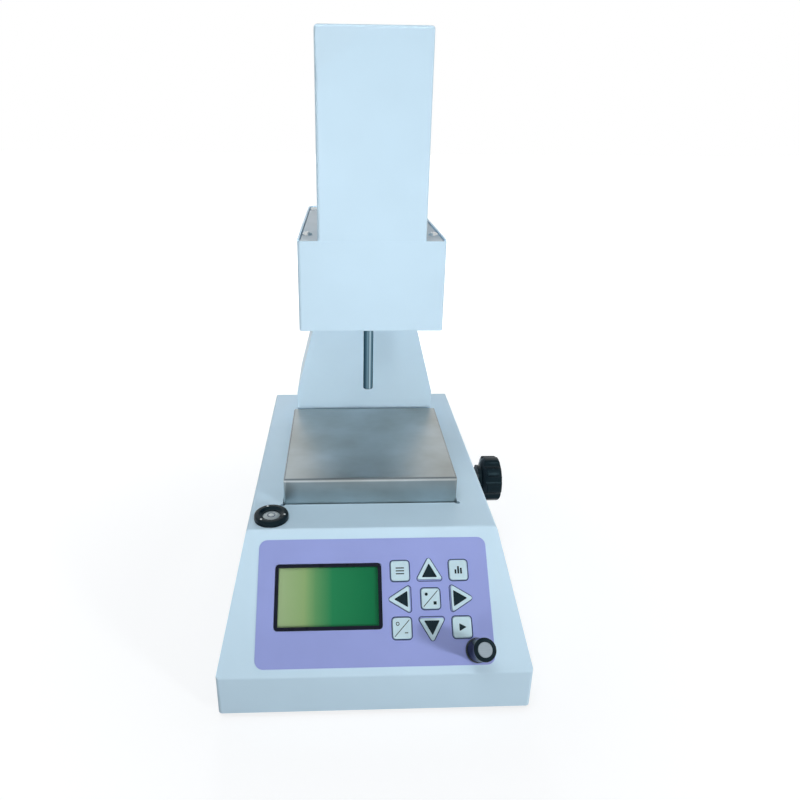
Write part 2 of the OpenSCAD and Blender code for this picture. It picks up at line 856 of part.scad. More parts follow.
// Sheet pan under the flat top that keeps spills out of the base
module platform_well() {
  z_lip = z_top - sheet;
  color("whitesmoke") difference() {
    union() {
      tray_cutout(z_lip - sheet, z_lip, sheet + well_lip);
      tray_cutout(z_well - sheet, z_lip, sheet);
    }
    tray_cutout(z_well, z_top, 0);
    corner_reliefs(z_well - sheet - over, z_top);
    translate([0, stem_y, z_well - sheet - over]) {
      cylinder(r = stem_d / 2 + 1, h = sheet + 2 * over);
      translate([-gear_w / 2 - 1, 0, 0])
        cube([gear_w + 2, rack_pitch_y + 2 * gear_module, sheet + 2 * over]);
    }
  }
}

module tray_form(t, bottom) {
  side = folded(tray_d, bottom, z_tray, tray_fold_r);
  front = folded(tray_w, bottom, z_tray, tray_fold_r);
  translate([0, tray_y, 0]) intersection() {
    along_x(tray_w) polygon(rounded(inset(side, t)));
    along_y(-tray_d / 2, tray_d / 2) polygon(rounded(inset(front, t)));
    along_z(bottom, z_tray) polygon(rounded(inset(rect(tray_w, tray_d, tray_fold_r), t)));
  }
}

module platform_tray() {
  color("lightgray") difference() {
    tray_form(0, z_top - tray_dip);
    tray_form(sheet, z_top - tray_dip - 5);
  }
}

module platform_carrier() {
  color("darkgray") translate([0, stem_y, 0]) difference() {
    union() {
      along_z(z_carrier, z_carrier + carrier_t)
        polygon(rounded(rect(tray_w - 2 * carrier_in, tray_d - 2 * carrier_in, 6)));
      translate([0, 0, z_carrier - carrier_boss_h])
        cylinder(r = carrier_boss_r, h = carrier_boss_h + over);
    }
    translate([0, 0, z_carrier - carrier_boss_h - over])
      cylinder(r = stem_d / 2 + seat_gap, h = carrier_boss_h + over);
  }
}

function rack_top() = shaft_z + rack_up * tooth_pitch;

function rack_bottom() = shaft_z - rack_down * tooth_pitch;

// Guide column with a flat milled along its back for the rack
module lift_stem() {
  color("silver") translate([0, stem_y, 0]) difference() {
    translate([0, 0, z_stem]) cylinder(d = stem_d, h = z_carrier - z_stem);
    translate([-stem_d, stem_flat, z_stem - over])
      cube([2 * stem_d, stem_d, rack_top() - z_stem + over]);
  }
}

// Straight rack whose gap faces the pinion's tooth at rest
module lift_rack() {
  half = tooth_t / 2;
  tip = half - gear_module * tan(pressure_angle);
  root = half + 1.25 * gear_module * tan(pressure_angle);
  tip_y = rack_pitch_y + gear_module;
  teeth = [
    for (k = [-rack_down : rack_up - 1])
      let (z = shaft_z + (k + 0.5) * tooth_pitch)
      each [[rack_root, z - root], [tip_y, z - tip], [tip_y, z + tip], [rack_root, z + root]]
  ];
  low = [[stem_flat, rack_bottom()], [rack_root, rack_bottom()]];
  high = [[rack_root, rack_top()], [stem_flat, rack_top()]];
  color("dimgray") translate([0, stem_y, 0]) along_x(gear_w) polygon(concat(low, teeth, high));
}

// Block bored for the stem, slotted for the rack, with two cheeks that carry the shaft
module lift_guide() {
  back = rack_pitch_y + pinion_r + guide_back;
  d = guide_front + back;
  color("darkgray") translate([0, stem_y, 0]) difference() {
    union() {
      translate([-guide_half_w, -guide_front, z_floor])
        cube([2 * guide_half_w, d, z_guide - z_floor]);
      translate([-guide_half_w - guide_flange_w, -guide_front, z_floor])
        cube([2 * (guide_half_w + guide_flange_w), d, guide_flange_t]);
    }
    translate([0, 0, z_floor + guide_flange_t]) cylinder(r = stem_d / 2 + run_gap, h = z_guide);
    translate([-gear_w / 2 - guide_slot_gap, 0, z_floor + guide_flange_t])
      cube([gear_w + 2 * guide_slot_gap, back + over, z_guide]);
    translate([0, shaft_y - stem_y, shaft_z])
      bar_x(shaft_r + run_gap, -guide_half_w - over, guide_half_w + over);
  }
}

module lift_pinion() {
  base_r = pinion_r * cos(pressure_angle);
  tip_r = pinion_r + gear_module;
  root_r = pinion_r - 1.25 * gear_module;
  half = tooth_t / (2 * pinion_r) * 180 / PI + involute(pressure_angle);
  flank = [
    for (i = [0 : 5])
      let (r = base_r + (tip_r - base_r) * i / 5)
      [r, half - involute(acos(min(base_r / r, 1)))]
  ];
  side = concat([[root_r, half]], flank);
  tooth = concat([for (p = side) [p[0], -p[1]]], [for (i = [len(side) - 1 : -1 : 0]) side[i]]);
  color("goldenrod") translate([0, shaft_y, shaft_z]) along_x(gear_w) difference() {
    polygon([
      for (n = [0 : pinion_teeth - 1], p = tooth)
        let (angle = 180 + n * 360 / pinion_teeth + p[1])
        p[0] * [cos(angle), sin(angle)]
    ]);
    circle(r = shaft_r + seat_gap);
  }
}

module lift_shaft() {
  color("silver") translate([0, shaft_y, shaft_z])
    bar_x(shaft_r, -shaft_left, knob_hub_in() + knob_bore_depth);
}

function knob_hub_in() = wall_x(shaft_z - knob_hub_r) + knob_wall_gap;

// Upright angle near the right wall that holds the shaft's outer bush
module shaft_bracket() {
  color("silver") difference() {
    union() {
      translate([bracket_x, shaft_y - bracket_half_d, z_floor])
        cube([bracket_t, 2 * bracket_half_d, shaft_z + bracket_half_d - z_floor]);
      translate([bracket_x - bracket_foot, shaft_y - bracket_half_d, z_floor])
        cube([bracket_foot + bracket_t, 2 * bracket_half_d, bracket_t]);
    }
    translate([0, shaft_y, shaft_z])
      bar_x(shaft_r + bush_wall + seat_gap, bracket_x - over, bracket_x + bracket_t + over);
  }
}

module shaft_bush() {
  color("darkgoldenrod") translate([0, shaft_y, shaft_z]) difference() {
    union() {
      bar_x(shaft_r + bush_wall, bracket_x - bush_flange_t, bracket_x - bush_flange_t + bush_len);
      bar_x(shaft_r + bush_wall + bush_flange_w, bracket_x - bush_flange_t, bracket_x);
    }
    bar_x(shaft_r + run_gap, bracket_x - bush_flange_t - over, bracket_x + bush_len + over);
  }
}

// Lobed hand knob with a round hub and a back that tapers towards it
module lift_knob() {
  r = knob_d / 2;
  dish_r = knob_dish_d / 2;
  inner = knob_in - knob_hub_in();
  outer = knob_out - knob_hub_in();
  color("black") translate([0, shaft_y, shaft_z]) difference() {
    translate([knob_hub_in(), 0, 0]) rotate([0, 90, 0]) rotate_extrude() polygon(rounded([
      [0, 0, 0], [knob_hub_r, 0, 0], [knob_hub_r, inner - knob_back_run, 0],
      [r, inner, knob_back_r], [r, outer, knob_rim_r],
      [dish_r, outer, 0], [dish_r - 1, outer - knob_dish, 0], [0, outer - knob_dish, 0]
    ]));
    for (n = [0 : knob_flutes - 1])
      rotate([(n + 0.5) * 360 / knob_flutes, 0, 0]) translate([0, r + flute_out, 0])
        bar_x(flute_r, knob_in - knob_back_run, knob_out + over);
    bar_x(shaft_r + seat_gap, knob_hub_in() - over, knob_hub_in() + knob_bore_depth);
  }
}

// Square post, welded to a foot plate, that carries the head
module column_post() {
  color("darkgray") translate([0, post_y, 0]) {
    along_z(z_floor, z_floor + post_flange_t)
      polygon(rounded(rect(post_w + 2 * post_flange, post_d + 2 * post_flange, 4)));
    along_z(z_floor + post_flange_t, z_arm) difference() {
      polygon(rounded(rect(post_w, post_d, 4)));
      polygon(rounded(rect(post_w - 2 * post_wall, post_d - 2 * post_wall, 1)));
    }
  }
}

// Outline of the column from behind, its sides taken in by t
module column_outline(t, low, high) {
  z_kink = z_top + col_foot_h;
  foot = col_w / 2 - t;
  neck = column_half_w(high) - t;
  polygon([[-foot, low], [foot, low], [foot, z_kink], [neck, high], [-neck, high], [-foot, z_kink]]);
}

// Folded front and sides, with a return flange all round for the back plate
module column_cover() {
  flange_y = col_rear - 2 * sheet - seat_gap;
  color("whitesmoke") difference() {
    union() {
      difference() {
        along_y(col_front, col_rear) column_outline(0, z_top, z_head);
        along_y(col_front + sheet, col_rear + over)
          column_outline(sheet, z_top - over, z_head + over);
      }
      along_y(flange_y, flange_y + sheet) difference() {
        column_outline(sheet / 2, z_top, z_head);
        column_outline(sheet + col_flange, z_top + col_flange / 2, z_head - col_flange / 2);
      }
    }
    screw_holes();
  }
}

module column_back() {
  color("whitesmoke") difference() {
    along_y(col_rear - sheet, col_rear)
      column_outline(sheet + 2 * slip_gap, z_top + slip_gap, z_head - slip_gap);
    screw_holes();
  }
}

// Stiff plate on the post that carries the spindle's guides over the platform
module support_arm() {
  color("darkgray") difference() {
    along_z(z_arm, z_arm + arm_t) polygon(rounded([
      [-arm_half_w, rod_y - arm_front, 6], [arm_half_w, rod_y - arm_front, 6],
      [arm_half_w, arm_rear, 2], [-arm_half_w, arm_rear, 2]
    ]));
    translate([0, rod_y, z_arm - over]) cylinder(r = bush_r + seat_gap, h = arm_t + 2 * over);
  }
}

// Folded box, open on top, with tabs inside for the lid's screws
module head_housing() {
  color("whitesmoke") difference() {
    union() {
      difference() {
        along_z(z_head, z_rim) polygon(rounded(head_plan()));
        along_z(z_arm, z_rim + over) polygon(rounded(inset(head_plan(), sheet)));
      }
      for (side = [-1, 1], y = lid_screw_y)
        translate([side * (head_w / 2 - lid_tab / 2 - sheet / 2), y, z_lid - 2 * sheet])
          linear_extrude(sheet) square(lid_tab, center = true);
    }
    translate([-head_w / 2 - over, head_front - over, z_lid])
      cube([head_w + 2 * over, over + head_fold_r + sheet, rim_h + over]);
    translate([0, rod_y, z_head - over]) cylinder(r = bush_r + seat_gap, h = sheet + 2 * over);
    post_cutout(z_head - over, z_arm + over);
    screw_holes();
  }
}

module head_lid() {
  color("lightgray") difference() {
    along_z(z_lid - sheet, z_lid) polygon(rounded(inset(head_plan(), sheet + 2 * slip_gap)));
    translate([0, rod_y, 0]) along_z(z_lid - sheet - over, z_lid + over) cover_opening();
    screw_holes();
  }
}

// Opening inside the tall cover's turned-in foot
module cover_opening() {
  border = 2 * sheet + 2 * cover_lip;
  square([cover_w - border, cover_d - border], center = true);
}

module cover_form(t, bottom) {
  side = folded(cover_d, bottom, z_cover, bend_r);
  front = folded(cover_w, bottom, z_cover, bend_r);
  translate([0, rod_y, 0]) intersection() {
    along_x(cover_w) polygon(rounded(inset(side, t)));
    along_y(-cover_d / 2, cover_d / 2) polygon(rounded(inset(front, t)));
    along_z(bottom, z_cover) polygon(rounded(inset(rect(cover_w, cover_d, head_fold_r), t)));
  }
}

// Tall folded cover with a turned-in foot on three sides
module sensor_cover() {
  color("whitesmoke") {
    difference() {
      cover_form(0, z_lid);
      cover_form(sheet, z_lid - 5);
    }
    translate([0, rod_y, 0]) along_z(z_lid, z_lid + sheet) difference() {
      square([cover_w - sheet, cover_d - sheet], center = true);
      cover_opening();
    }
  }
}

// Polished spindle with a tapped hole in its flat lower end
module spindle_rod() {
  color("silver") translate([0, rod_y, 0]) difference() {
    rotate_extrude() polygon([
      [0, z_rod], [rod_r - 0.4, z_rod], [rod_r, z_rod + 0.4], [rod_r, z_armature], [0, z_armature]
    ]);
    translate([0, 0, z_rod - over]) cylinder(d = rod_tap_d, h = rod_tap_depth + over);
  }
}

// A flanged bronze bush in the arm and a plain one in the stand's middle shelf
module spindle_bushes() {
  color("darkgoldenrod") translate([0, rod_y, 0]) {
    translate([0, 0, z_head - bush_flange_t])
      ring(bush_r + bush_flange_w, rod_r + run_gap, bush_flange_t);
    translate([0, 0, z_head]) ring(bush_r, rod_r + run_gap, sheet + arm_t + lower_bush_up);
    translate([0, 0, guide_tab_z - 2]) ring(bush_r, rod_r + run_gap, stand_t + 3);
  }
}

module spindle_collar() {
  color("gray") translate([0, rod_y, z_collar]) ring(collar_r, rod_r + seat_gap, collar_h);
}

module armature() {
  color("gray") translate([0, rod_y, z_armature]) cylinder(r = armature_r, h = armature_t);
}

// Steel pot with its winding showing as a ring in the pole face
module magnet() {
  pole_r = magnet_d / 2;
  color("saddlebrown") translate([0, rod_y, z_magnet]) difference() {
    cylinder(r = pole_r, h = magnet_h);
    translate([0, 0, -over]) ring(pole_r - 3, pole_r * 0.45, over + 1.5);
  }
}

// Upright with three shelves: foot on the arm, middle guide, and the magnet's hanger
module sensor_bracket() {
  color("darkgray") difference() {
    union() {
      translate([-stand_half_w, stand_y, z_stand])
        cube([2 * stand_half_w, stand_t, z_magnet_top + stand_t - z_stand]);
      translate([-stand_half_w, stand_y, z_stand]) cube([2 * stand_half_w, stand_foot, stand_t]);
      for (z = [guide_tab_z, z_magnet_top])
        translate([-tab_half_w, rod_y - tab_over, z])
          cube([2 * tab_half_w, stand_gap + tab_over + over, stand_t]);
    }
    translate([0, rod_y, guide_tab_z - over]) cylinder(r = bush_r + seat_gap, h = stand_t + 2 * over);
  }
}

// Measuring scale clamped to the spindle by a short arm
module scale_strip() {
  color("lightsteelblue") translate([0, rod_y, 0]) {
    translate([scale_x - scale_t, -scale_w / 2, scale_low])
      cube([scale_t, scale_w, carriage_z + carriage_h - scale_low]);
    translate([0, 0, carriage_z]) difference() {
      union() {
        cylinder(r = carriage_r, h = carriage_h);
        translate([scale_x, -carriage_r / 2, 0]) cube([-scale_x, carriage_r, carriage_h]);
      }
      translate([0, 0, -over]) cylinder(r = rod_r + seat_gap, h = carriage_h + 2 * over);
    }
  }
}

// Reading head fixed to the stand, slotted for the scale
module scale_reader() {
  x = scale_x - scale_t / 2;
  slot = scale_t + 2 * reader_slot_gap;
  color("dimgray") translate([x - reader_w / 2, rod_y - reader_front, reader_z]) difference() {
    cube([reader_w, reader_front + stand_gap, reader_h]);
    translate([reader_w / 2 - slot / 2, -over, -over])
      cube([slot, reader_front + reader_slot_d + over, reader_h + 2 * over]);
  }
}

// A board on four posts; each component has its place and size as shares of the board's, and a height
module board_on_posts(size, parts) {
  translate([0, 0, board_post_h]) cube([size.x, size.y, board_t]);
  for (x = [board_post_in, size.x - board_post_in], y = [board_post_in, size.y - board_post_in])
    translate([x, y, 0]) cylinder(r = 3, h = board_post_h + over);
  for (p = parts)
    translate([p[0] * size.x, p[1] * size.y, board_post_h + board_t - 0.1])
      cube([p[2] * size.x, p[3] * size.y, p[4]]);
}

module main_board() {
  chips = [
    [0.13, 0.1, 0.39, 0.2, 3], [0.61, 0.12, 0.29, 0.08, 12], [0.16, 0.42, 0.23, 0.3, 6],
    [0.55, 0.4, 0.32, 0.17, 4], [0.16, 0.82, 0.65, 0.08, 9]
  ];
  color("darkgreen") translate([each main_board_at, z_floor]) board_on_posts(main_board_size, chips);
}

module power_supply() {
  parts = [[0.1, 0.13, 0.7, 0.46, 34], [0.14, 0.68, 0.28, 0.2, 22], [0.52, 0.68, 0.34, 0.15, 16]];
  color("darkgreen") translate([each supply_at, z_floor]) board_on_posts(supply_size, parts);
}

// Looks out of the rear wall: local x right, y out of the wall, z up
module on_rear() {
  translate([inlet_x, base_d, inlet_z]) children();
}

function socket_outline() = [
  [-socket_w / 2, -socket_h / 2, 1], [socket_w / 2, -socket_h / 2, 1],
  [socket_w / 2, socket_h / 2 - socket_corner, 0], [socket_w / 2 - socket_corner, socket_h / 2, 0],
  [-socket_w / 2 + socket_corner, socket_h / 2, 0], [-socket_w / 2, socket_h / 2 - socket_corner, 0]
];

module fuse_space(grow) {
  translate([socket_x - fuse_w / 2 - grow, inlet_face_t - fuse_d - grow, fuse_up - fuse_h / 2 - grow])
    cube([fuse_w + 2 * grow, fuse_d + grow + over, fuse_h + 2 * grow]);
}

// Snap-in housing with a mains socket, a fuse drawer's bay and a rocker's well
module power_inlet() {
  body_w = inlet_w - 2 * inlet_body_in;
  body_h = inlet_h - 2 * inlet_body_in;
  color("black") on_rear() {
    difference() {
      union() {
        along_y(0, inlet_face_t) polygon(rounded(rect(inlet_w, inlet_h, 2)));
        along_y(-inlet_body_d, over) polygon(rounded(rect(body_w, body_h, 1)));
      }
      translate([socket_x, 0, socket_up]) along_y(inlet_face_t - socket_d, inlet_face_t + over)
        polygon(rounded(socket_outline(), 3));
      fuse_space(slip_gap);
      translate([rocker_x, 0, 0]) along_y(inlet_face_t - rocker_well_d, inlet_face_t + over)
        square([rocker_w + 2 * slip_gap, rocker_h + 2 * slip_gap], center = true);
      translate([rocker_x, inlet_face_t - rocker_pin_in, 0])
        bar_x(rocker_pin_r + run_gap, -rocker_w / 2 - 2, rocker_w / 2 + 2);
    }
    for (b = [[-blade_pitch / 2, -1], [blade_pitch / 2, -1], [0, earth_up - 1]])
      translate([socket_x + b[0], inlet_face_t - socket_d - over, socket_up + b[1]])
        translate([-blade_t / 2, 0, -blade_w / 2]) cube([blade_t, blade_len + over, blade_w]);
  }
}

module fuse_drawer() {
  grip_h = fuse_h - 2 * slip_gap;
  color("dimgray") on_rear() {
    translate([socket_x - fuse_w / 2, inlet_face_t - fuse_d, fuse_up - fuse_h / 2])
      cube([fuse_w, fuse_d, fuse_h]);
    translate([socket_x - fuse_w / 4, inlet_face_t, fuse_up - grip_h / 2])
      cube([fuse_w / 2, fuse_pull, grip_h / 2]);
  }
}

// Two-way rocker on a cross pin, at rest with its lower end pressed
module switch_rocker() {
  outline = [
    [-rocker_tail, -rocker_tail_half], [-rocker_tail, rocker_tail_half], [rocker_face, rocker_half],
    [rocker_face - rocker_dip, 0], [rocker_face, -rocker_half]
  ];
  color("black") on_rear() translate([rocker_x, inlet_face_t - rocker_pin_in, 0])
    rotate([rocker_tilt, 0, 0]) {
      along_x(rocker_w) polygon(outline);
      bar_x(rocker_pin_r, -rocker_w / 2 - 1.5, rocker_w / 2 + 1.5);
    }
}

// Moulded levelling foot on a threaded stud
module levelling_foot(x, y) {
  r = foot_d / 2;
  color("black") translate([x, y, 0]) {
    rotate_extrude() polygon(rounded([
      [0, 0, 0], [r - 1.5, 0, 0], [r, 3, 0.8], [r - 3, foot_h, 1.5], [0, foot_h, 0]
    ], 4));
    translate([0, 0, foot_h - over]) cylinder(d = stud_d, h = stud_top - foot_h + over);
  }
}

place() base_cover();
place() base_plate();
place() case_screws();
place() panel_overlay();
place() display_bezel();
place() display_glass();
place() display_board();
place() key_board();
place() key_cap("key_menu");  // key_menu
place() key_cap("key_up");  // key_up
place() key_cap("key_data");  // key_data
place() key_cap("key_left");  // key_left
place() key_cap("key_enter");  // key_enter
place() key_cap("key_right");  // key_right
place() key_cap("key_return");  // key_return
place() key_cap("key_down");  // key_down
place() key_cap("key_start");  // key_start
place() trim_pot();
place() trim_shaft();
place() trim_knob();
place() trim_knob_ring();
place() trim_knob_cap();
place() level_body();
place() level_vial();
place() platform_well();
place() platform_tray();
place() platform_carrier();
place() lift_stem();
place() lift_rack();
place() lift_guide();
place() lift_pinion();
place() lift_shaft();
place() shaft_bracket();
place() shaft_bush();
place() lift_knob();
place() column_post();
place() column_cover();
place() column_back();
place() support_arm();
place() head_housing();
place() head_lid();
place() sensor_cover();
place() spindle_rod();
place() spindle_bushes();
place() spindle_collar();
place() armature();
place() magnet();
place() sensor_bracket();
place() scale_strip();
place() scale_reader();
place() main_board();
place() power_supply();
place() power_inlet();
place() fuse_drawer();
place() switch_rocker();
place() levelling_foot(-foot_x, foot_y[0]);  // foot_front_left
place() levelling_foot(foot_x, foot_y[0]);  // foot_front_right
place() levelling_foot(-foot_x, foot_y[1]);  // foot_rear_left
place() levelling_foot(foot_x, foot_y[1]);  // foot_rear_right
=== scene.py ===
# Bench tester for the liquid and plastic limits of soil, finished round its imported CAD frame.
import json
import math

import bmesh
import bpy
from mathutils import Matrix, Vector


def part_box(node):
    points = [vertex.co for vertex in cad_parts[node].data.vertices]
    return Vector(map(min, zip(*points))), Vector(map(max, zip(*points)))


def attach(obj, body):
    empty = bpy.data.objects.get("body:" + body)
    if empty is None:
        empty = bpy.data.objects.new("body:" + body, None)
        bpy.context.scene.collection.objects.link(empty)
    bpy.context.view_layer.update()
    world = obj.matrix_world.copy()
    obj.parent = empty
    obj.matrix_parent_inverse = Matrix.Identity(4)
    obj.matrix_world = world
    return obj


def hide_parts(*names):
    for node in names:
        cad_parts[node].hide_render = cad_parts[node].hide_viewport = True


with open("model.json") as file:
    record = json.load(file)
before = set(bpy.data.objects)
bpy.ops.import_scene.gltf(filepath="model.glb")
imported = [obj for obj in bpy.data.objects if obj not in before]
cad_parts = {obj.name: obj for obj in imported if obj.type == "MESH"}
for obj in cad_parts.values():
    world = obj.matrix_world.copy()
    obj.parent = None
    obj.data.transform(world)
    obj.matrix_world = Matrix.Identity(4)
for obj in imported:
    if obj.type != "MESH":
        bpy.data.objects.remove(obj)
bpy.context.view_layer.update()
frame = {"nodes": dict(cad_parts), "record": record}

# Casing: the base, the well under the platform, the column, the head and the tall cover are folded
# sheet steel with a pale powder coat. The coat has a fine orange peel, and the folds are rounded.
body_of_node = {n: b for b, nodes in frame["record"]["behaviour"]["bodies"].items() for n in nodes}
slot_of_node = {s["node"]: s["material_slot"] for s in frame["record"]["subparts"]}
scene = bpy.context.scene
MM = 0.001
merge_gap = 0.001 * MM
flat_angle = math.radians(0.8)
fold_angle = math.radians(32)


def tint(red, green, blue):
    """A colour in 0 to 255 steps as linear values."""
    steps = [c / 255 for c in (red, green, blue)]
    return tuple(c / 12.92 if c <= 0.04045 else ((c + 0.055) / 1.055) ** 2.4 for c in steps)


def shaded(colour, share):
    """The colour with its light cut to a share."""
    return tuple(c * share for c in colour)


def new_finish(name, colour, roughness, metallic=0.0):
    """A plain material and its shader node."""
    finish = bpy.data.materials.new(name)
    finish.use_nodes = True
    shader = finish.node_tree.nodes["Principled BSDF"]
    shader.inputs["Base Color"].default_value = (*colour, 1.0)
    shader.inputs["Roughness"].default_value = roughness
    shader.inputs["Metallic"].default_value = metallic
    return finish, shader


def add_node(finish, kind, **values):
    """A shader node with some of its sockets set, each named with _ for a space."""
    node = finish.node_tree.nodes.new(kind)
    for name, value in values.items():
        node.inputs[name.replace("_", " ")].default_value = value
    return node


def add_noise(finish, size, stretch=(1.0, 1.0, 1.0), detail=2.0):
    """Noise in Object coordinates whose grains are about size metres wide."""
    links = finish.node_tree.links
    place = add_node(finish, "ShaderNodeTexCoord")
    turn = add_node(finish, "ShaderNodeMapping", Scale=stretch)
    noise = add_node(finish, "ShaderNodeTexNoise", Scale=1.0 / size, Detail=detail)
    links.new(place.outputs["Object"], turn.inputs["Vector"])
    links.new(turn.outputs["Vector"], noise.inputs["Vector"])
    return noise.outputs["Fac"]


def add_ramp(finish, value, stops):
    """Colours along a value from 0 to 1, given as (place, colour or plain number)."""
    ramp = add_node(finish, "ShaderNodeValToRGB")
    steps = ramp.color_ramp.elements
    while len(steps) < len(stops):
        steps.new(0.5)
    for step, (place, colour) in zip(steps, stops):
        step.position = place
        step.color = (*colour, 1.0) if isinstance(colour, tuple) else (colour, colour, colour, 1.0)
    finish.node_tree.links.new(value, ramp.inputs["Fac"])
    return ramp.outputs["Color"]


def add_mottle(finish, noise, socket, low, high):
    """Lets the noise vary a shader's colour or value between low and high."""
    finish.node_tree.links.new(add_ramp(finish, noise, [(0.3, low), (0.7, high)]), socket)


def add_clouds(finish, shader, noise, colour, darkest):
    """Lets the noise darken the finish's colour, down to a share of it."""
    add_mottle(finish, noise, shader.inputs["Base Color"], shaded(colour, darkest), colour)


def add_sheen(finish, shader, noise, smoothest, roughest):
    """Lets the noise vary how rough the finish is."""
    add_mottle(finish, noise, shader.inputs["Roughness"], smoothest, roughest)


def add_relief(finish, shader, noise, depth, strength=0.3):
    """Lets the noise raise a fine grain of the given depth."""
    bump = add_node(finish, "ShaderNodeBump", Distance=depth, Strength=strength)
    finish.node_tree.links.new(noise, bump.inputs["Height"])
    finish.node_tree.links.new(bump.outputs["Normal"], shader.inputs["Normal"])


def merged_copy(node):
    """The CAD node's mesh with its loose triangles joined and its flats made whole."""
    mesh = frame["nodes"][node].data.copy()
    shape = bmesh.new()
    shape.from_mesh(mesh)
    bmesh.ops.remove_doubles(shape, verts=shape.verts, dist=merge_gap)
    bmesh.ops.dissolve_limit(shape, angle_limit=flat_angle, verts=shape.verts, edges=shape.edges)
    shape.to_mesh(mesh)
    shape.free()
    return mesh


def add_piece(name, mesh, finish, body):
    """A mesh in its finish, riding on a body."""
    piece = bpy.data.objects.new(name, mesh)
    scene.collection.objects.link(piece)
    mesh.materials.clear()
    mesh.materials.append(finish)
    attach(piece, body)
    return piece


def dress(node, finish, edge=0.0, sharp=fold_angle):
    """A merged copy with softened edges stands for a CAD node and rides where it does."""
    mesh = merged_copy(node)
    mesh.shade_smooth()
    mesh.set_sharp_from_angle(angle=sharp)
    piece = add_piece(node + "_finished", mesh, finish, body_of_node[node])
    if edge > 0:
        bevel = piece.modifiers.new("softened_edge", "BEVEL")
        bevel.width = edge
        bevel.segments = 3
        bevel.limit_method = "ANGLE"
        bevel.angle_limit = sharp
        bevel.use_clamp_overlap = True
        bevel.harden_normals = True
    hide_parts(node)
    return piece


coat_colour = tint(206, 233, 250)
powder_coat, coat_shader = new_finish("pale_powder_coat", coat_colour, 0.4)
add_relief(powder_coat, coat_shader, add_noise(powder_coat, 0.7 * MM), 0.05 * MM)
coat_clouds = add_noise(powder_coat, 60 * MM)
add_clouds(powder_coat, coat_shader, coat_clouds, coat_colour, 0.95)
add_sheen(powder_coat, coat_shader, add_noise(powder_coat, 12 * MM), 0.36, 0.46)
for sheet_piece in ("base_cover", "platform_well", "head_housing", "column_back"):
    dress(sheet_piece, powder_coat, edge=0.3 * MM)
dress("column_cover", powder_coat, edge=0.6 * MM)
dress("sensor_cover", powder_coat)

# Head lid: a flat inset sheet between the head's side rims, in a greyer coat than the casing.
# Four screws at its corners hold it to the head's tabs.
lid_colour = tint(186, 198, 206)
lid_coat, lid_shader = new_finish("grey_lid_coat", lid_colour, 0.45)
add_relief(lid_coat, lid_shader, add_noise(lid_coat, 0.7 * MM), 0.05 * MM)
lid_clouds = add_noise(lid_coat, 30 * MM)
add_clouds(lid_coat, lid_shader, lid_clouds, lid_colour, 0.93)
dress("head_lid", lid_coat, edge=0.3 * MM)

# Bottom plate and inner steel: zinc-plated sheet and bar behind the casing, out of sight in use.
# They are pressed or sawn, drilled and bolted to the bottom plate.
zinc_colour = tint(170, 176, 180)
zinc_plate, zinc_shader = new_finish("zinc_plated_steel", zinc_colour, 0.38, metallic=1.0)
zinc_spangle = add_noise(zinc_plate, 9 * MM)
add_clouds(zinc_plate, zinc_shader, zinc_spangle, zinc_colour, 0.8)
add_sheen(zinc_plate, zinc_shader, zinc_spangle, 0.32, 0.46)
for inner_piece in (
    "base_plate", "shaft_bracket", "column_post", "spindle_collar", "armature", "magnet", "trim_pot",
):
    dress(inner_piece, zinc_plate)

# Inner blocks: the lift's guide, the platform's carrier, the arm, the stand and the scale's strip
# are aluminium, milled, with fine cutter marks along X.
milled_colour = tint(186, 189, 193)
milled_alloy, milled_shader = new_finish("milled_aluminium", milled_colour, 0.32, metallic=1.0)
cutter_marks = add_noise(milled_alloy, 0.6 * MM, stretch=(0.05, 1, 1))
add_sheen(milled_alloy, milled_shader, cutter_marks, 0.26, 0.4)
add_clouds(milled_alloy, milled_shader, cutter_marks, milled_colour, 0.88)
for alloy_piece in ("platform_carrier", "lift_guide", "support_arm", "sensor_bracket", "scale_strip"):
    dress(alloy_piece, milled_alloy)

# Bushes and pinion: plain bearing bronze, turned, and hobbed where it meshes with the rack.
# The bushes are pressed into the arm, the stand and the shaft's bracket.
bronze_colour = tint(196, 150, 92)
bronze, bronze_shader = new_finish("bearing_bronze", bronze_colour, 0.3, metallic=1.0)
bronze_grain = add_noise(bronze, 3 * MM)
add_clouds(bronze, bronze_shader, bronze_grain, bronze_colour, 0.8)
for bronze_piece in ("spindle_bushes", "shaft_bush", "lift_pinion"):
    dress(bronze_piece, bronze)

# Circuit boards: glass-fibre laminate with a green solder mask, on spacers behind the panel and
# on the bottom plate. They drive the display, the keys, the magnet and the scale.
mask_colour = tint(24, 92, 58)
board_mask, mask_shader = new_finish("green_solder_mask", mask_colour, 0.45)
board_tracks = add_noise(board_mask, 4 * MM, detail=6)
add_clouds(board_mask, mask_shader, board_tracks, mask_colour, 0.6)
for board in ("display_board", "key_board", "main_board", "power_supply"):
    dress(board, board_mask)

# Levelling feet: black rubber moulded on a threaded stud and screwed into the bottom plate.
# A ring of ribs round each pad gives the fingers a grip.
rubber_colour = tint(34, 35, 37)
foot_rubber, rubber_shader = new_finish("foot_rubber", rubber_colour, 0.7)
add_relief(foot_rubber, rubber_shader, add_noise(foot_rubber, 0.5 * MM), 0.05 * MM)
rubber_bloom = add_noise(foot_rubber, 8 * MM)
add_clouds(foot_rubber, rubber_shader, rubber_bloom, rubber_colour, 0.7)


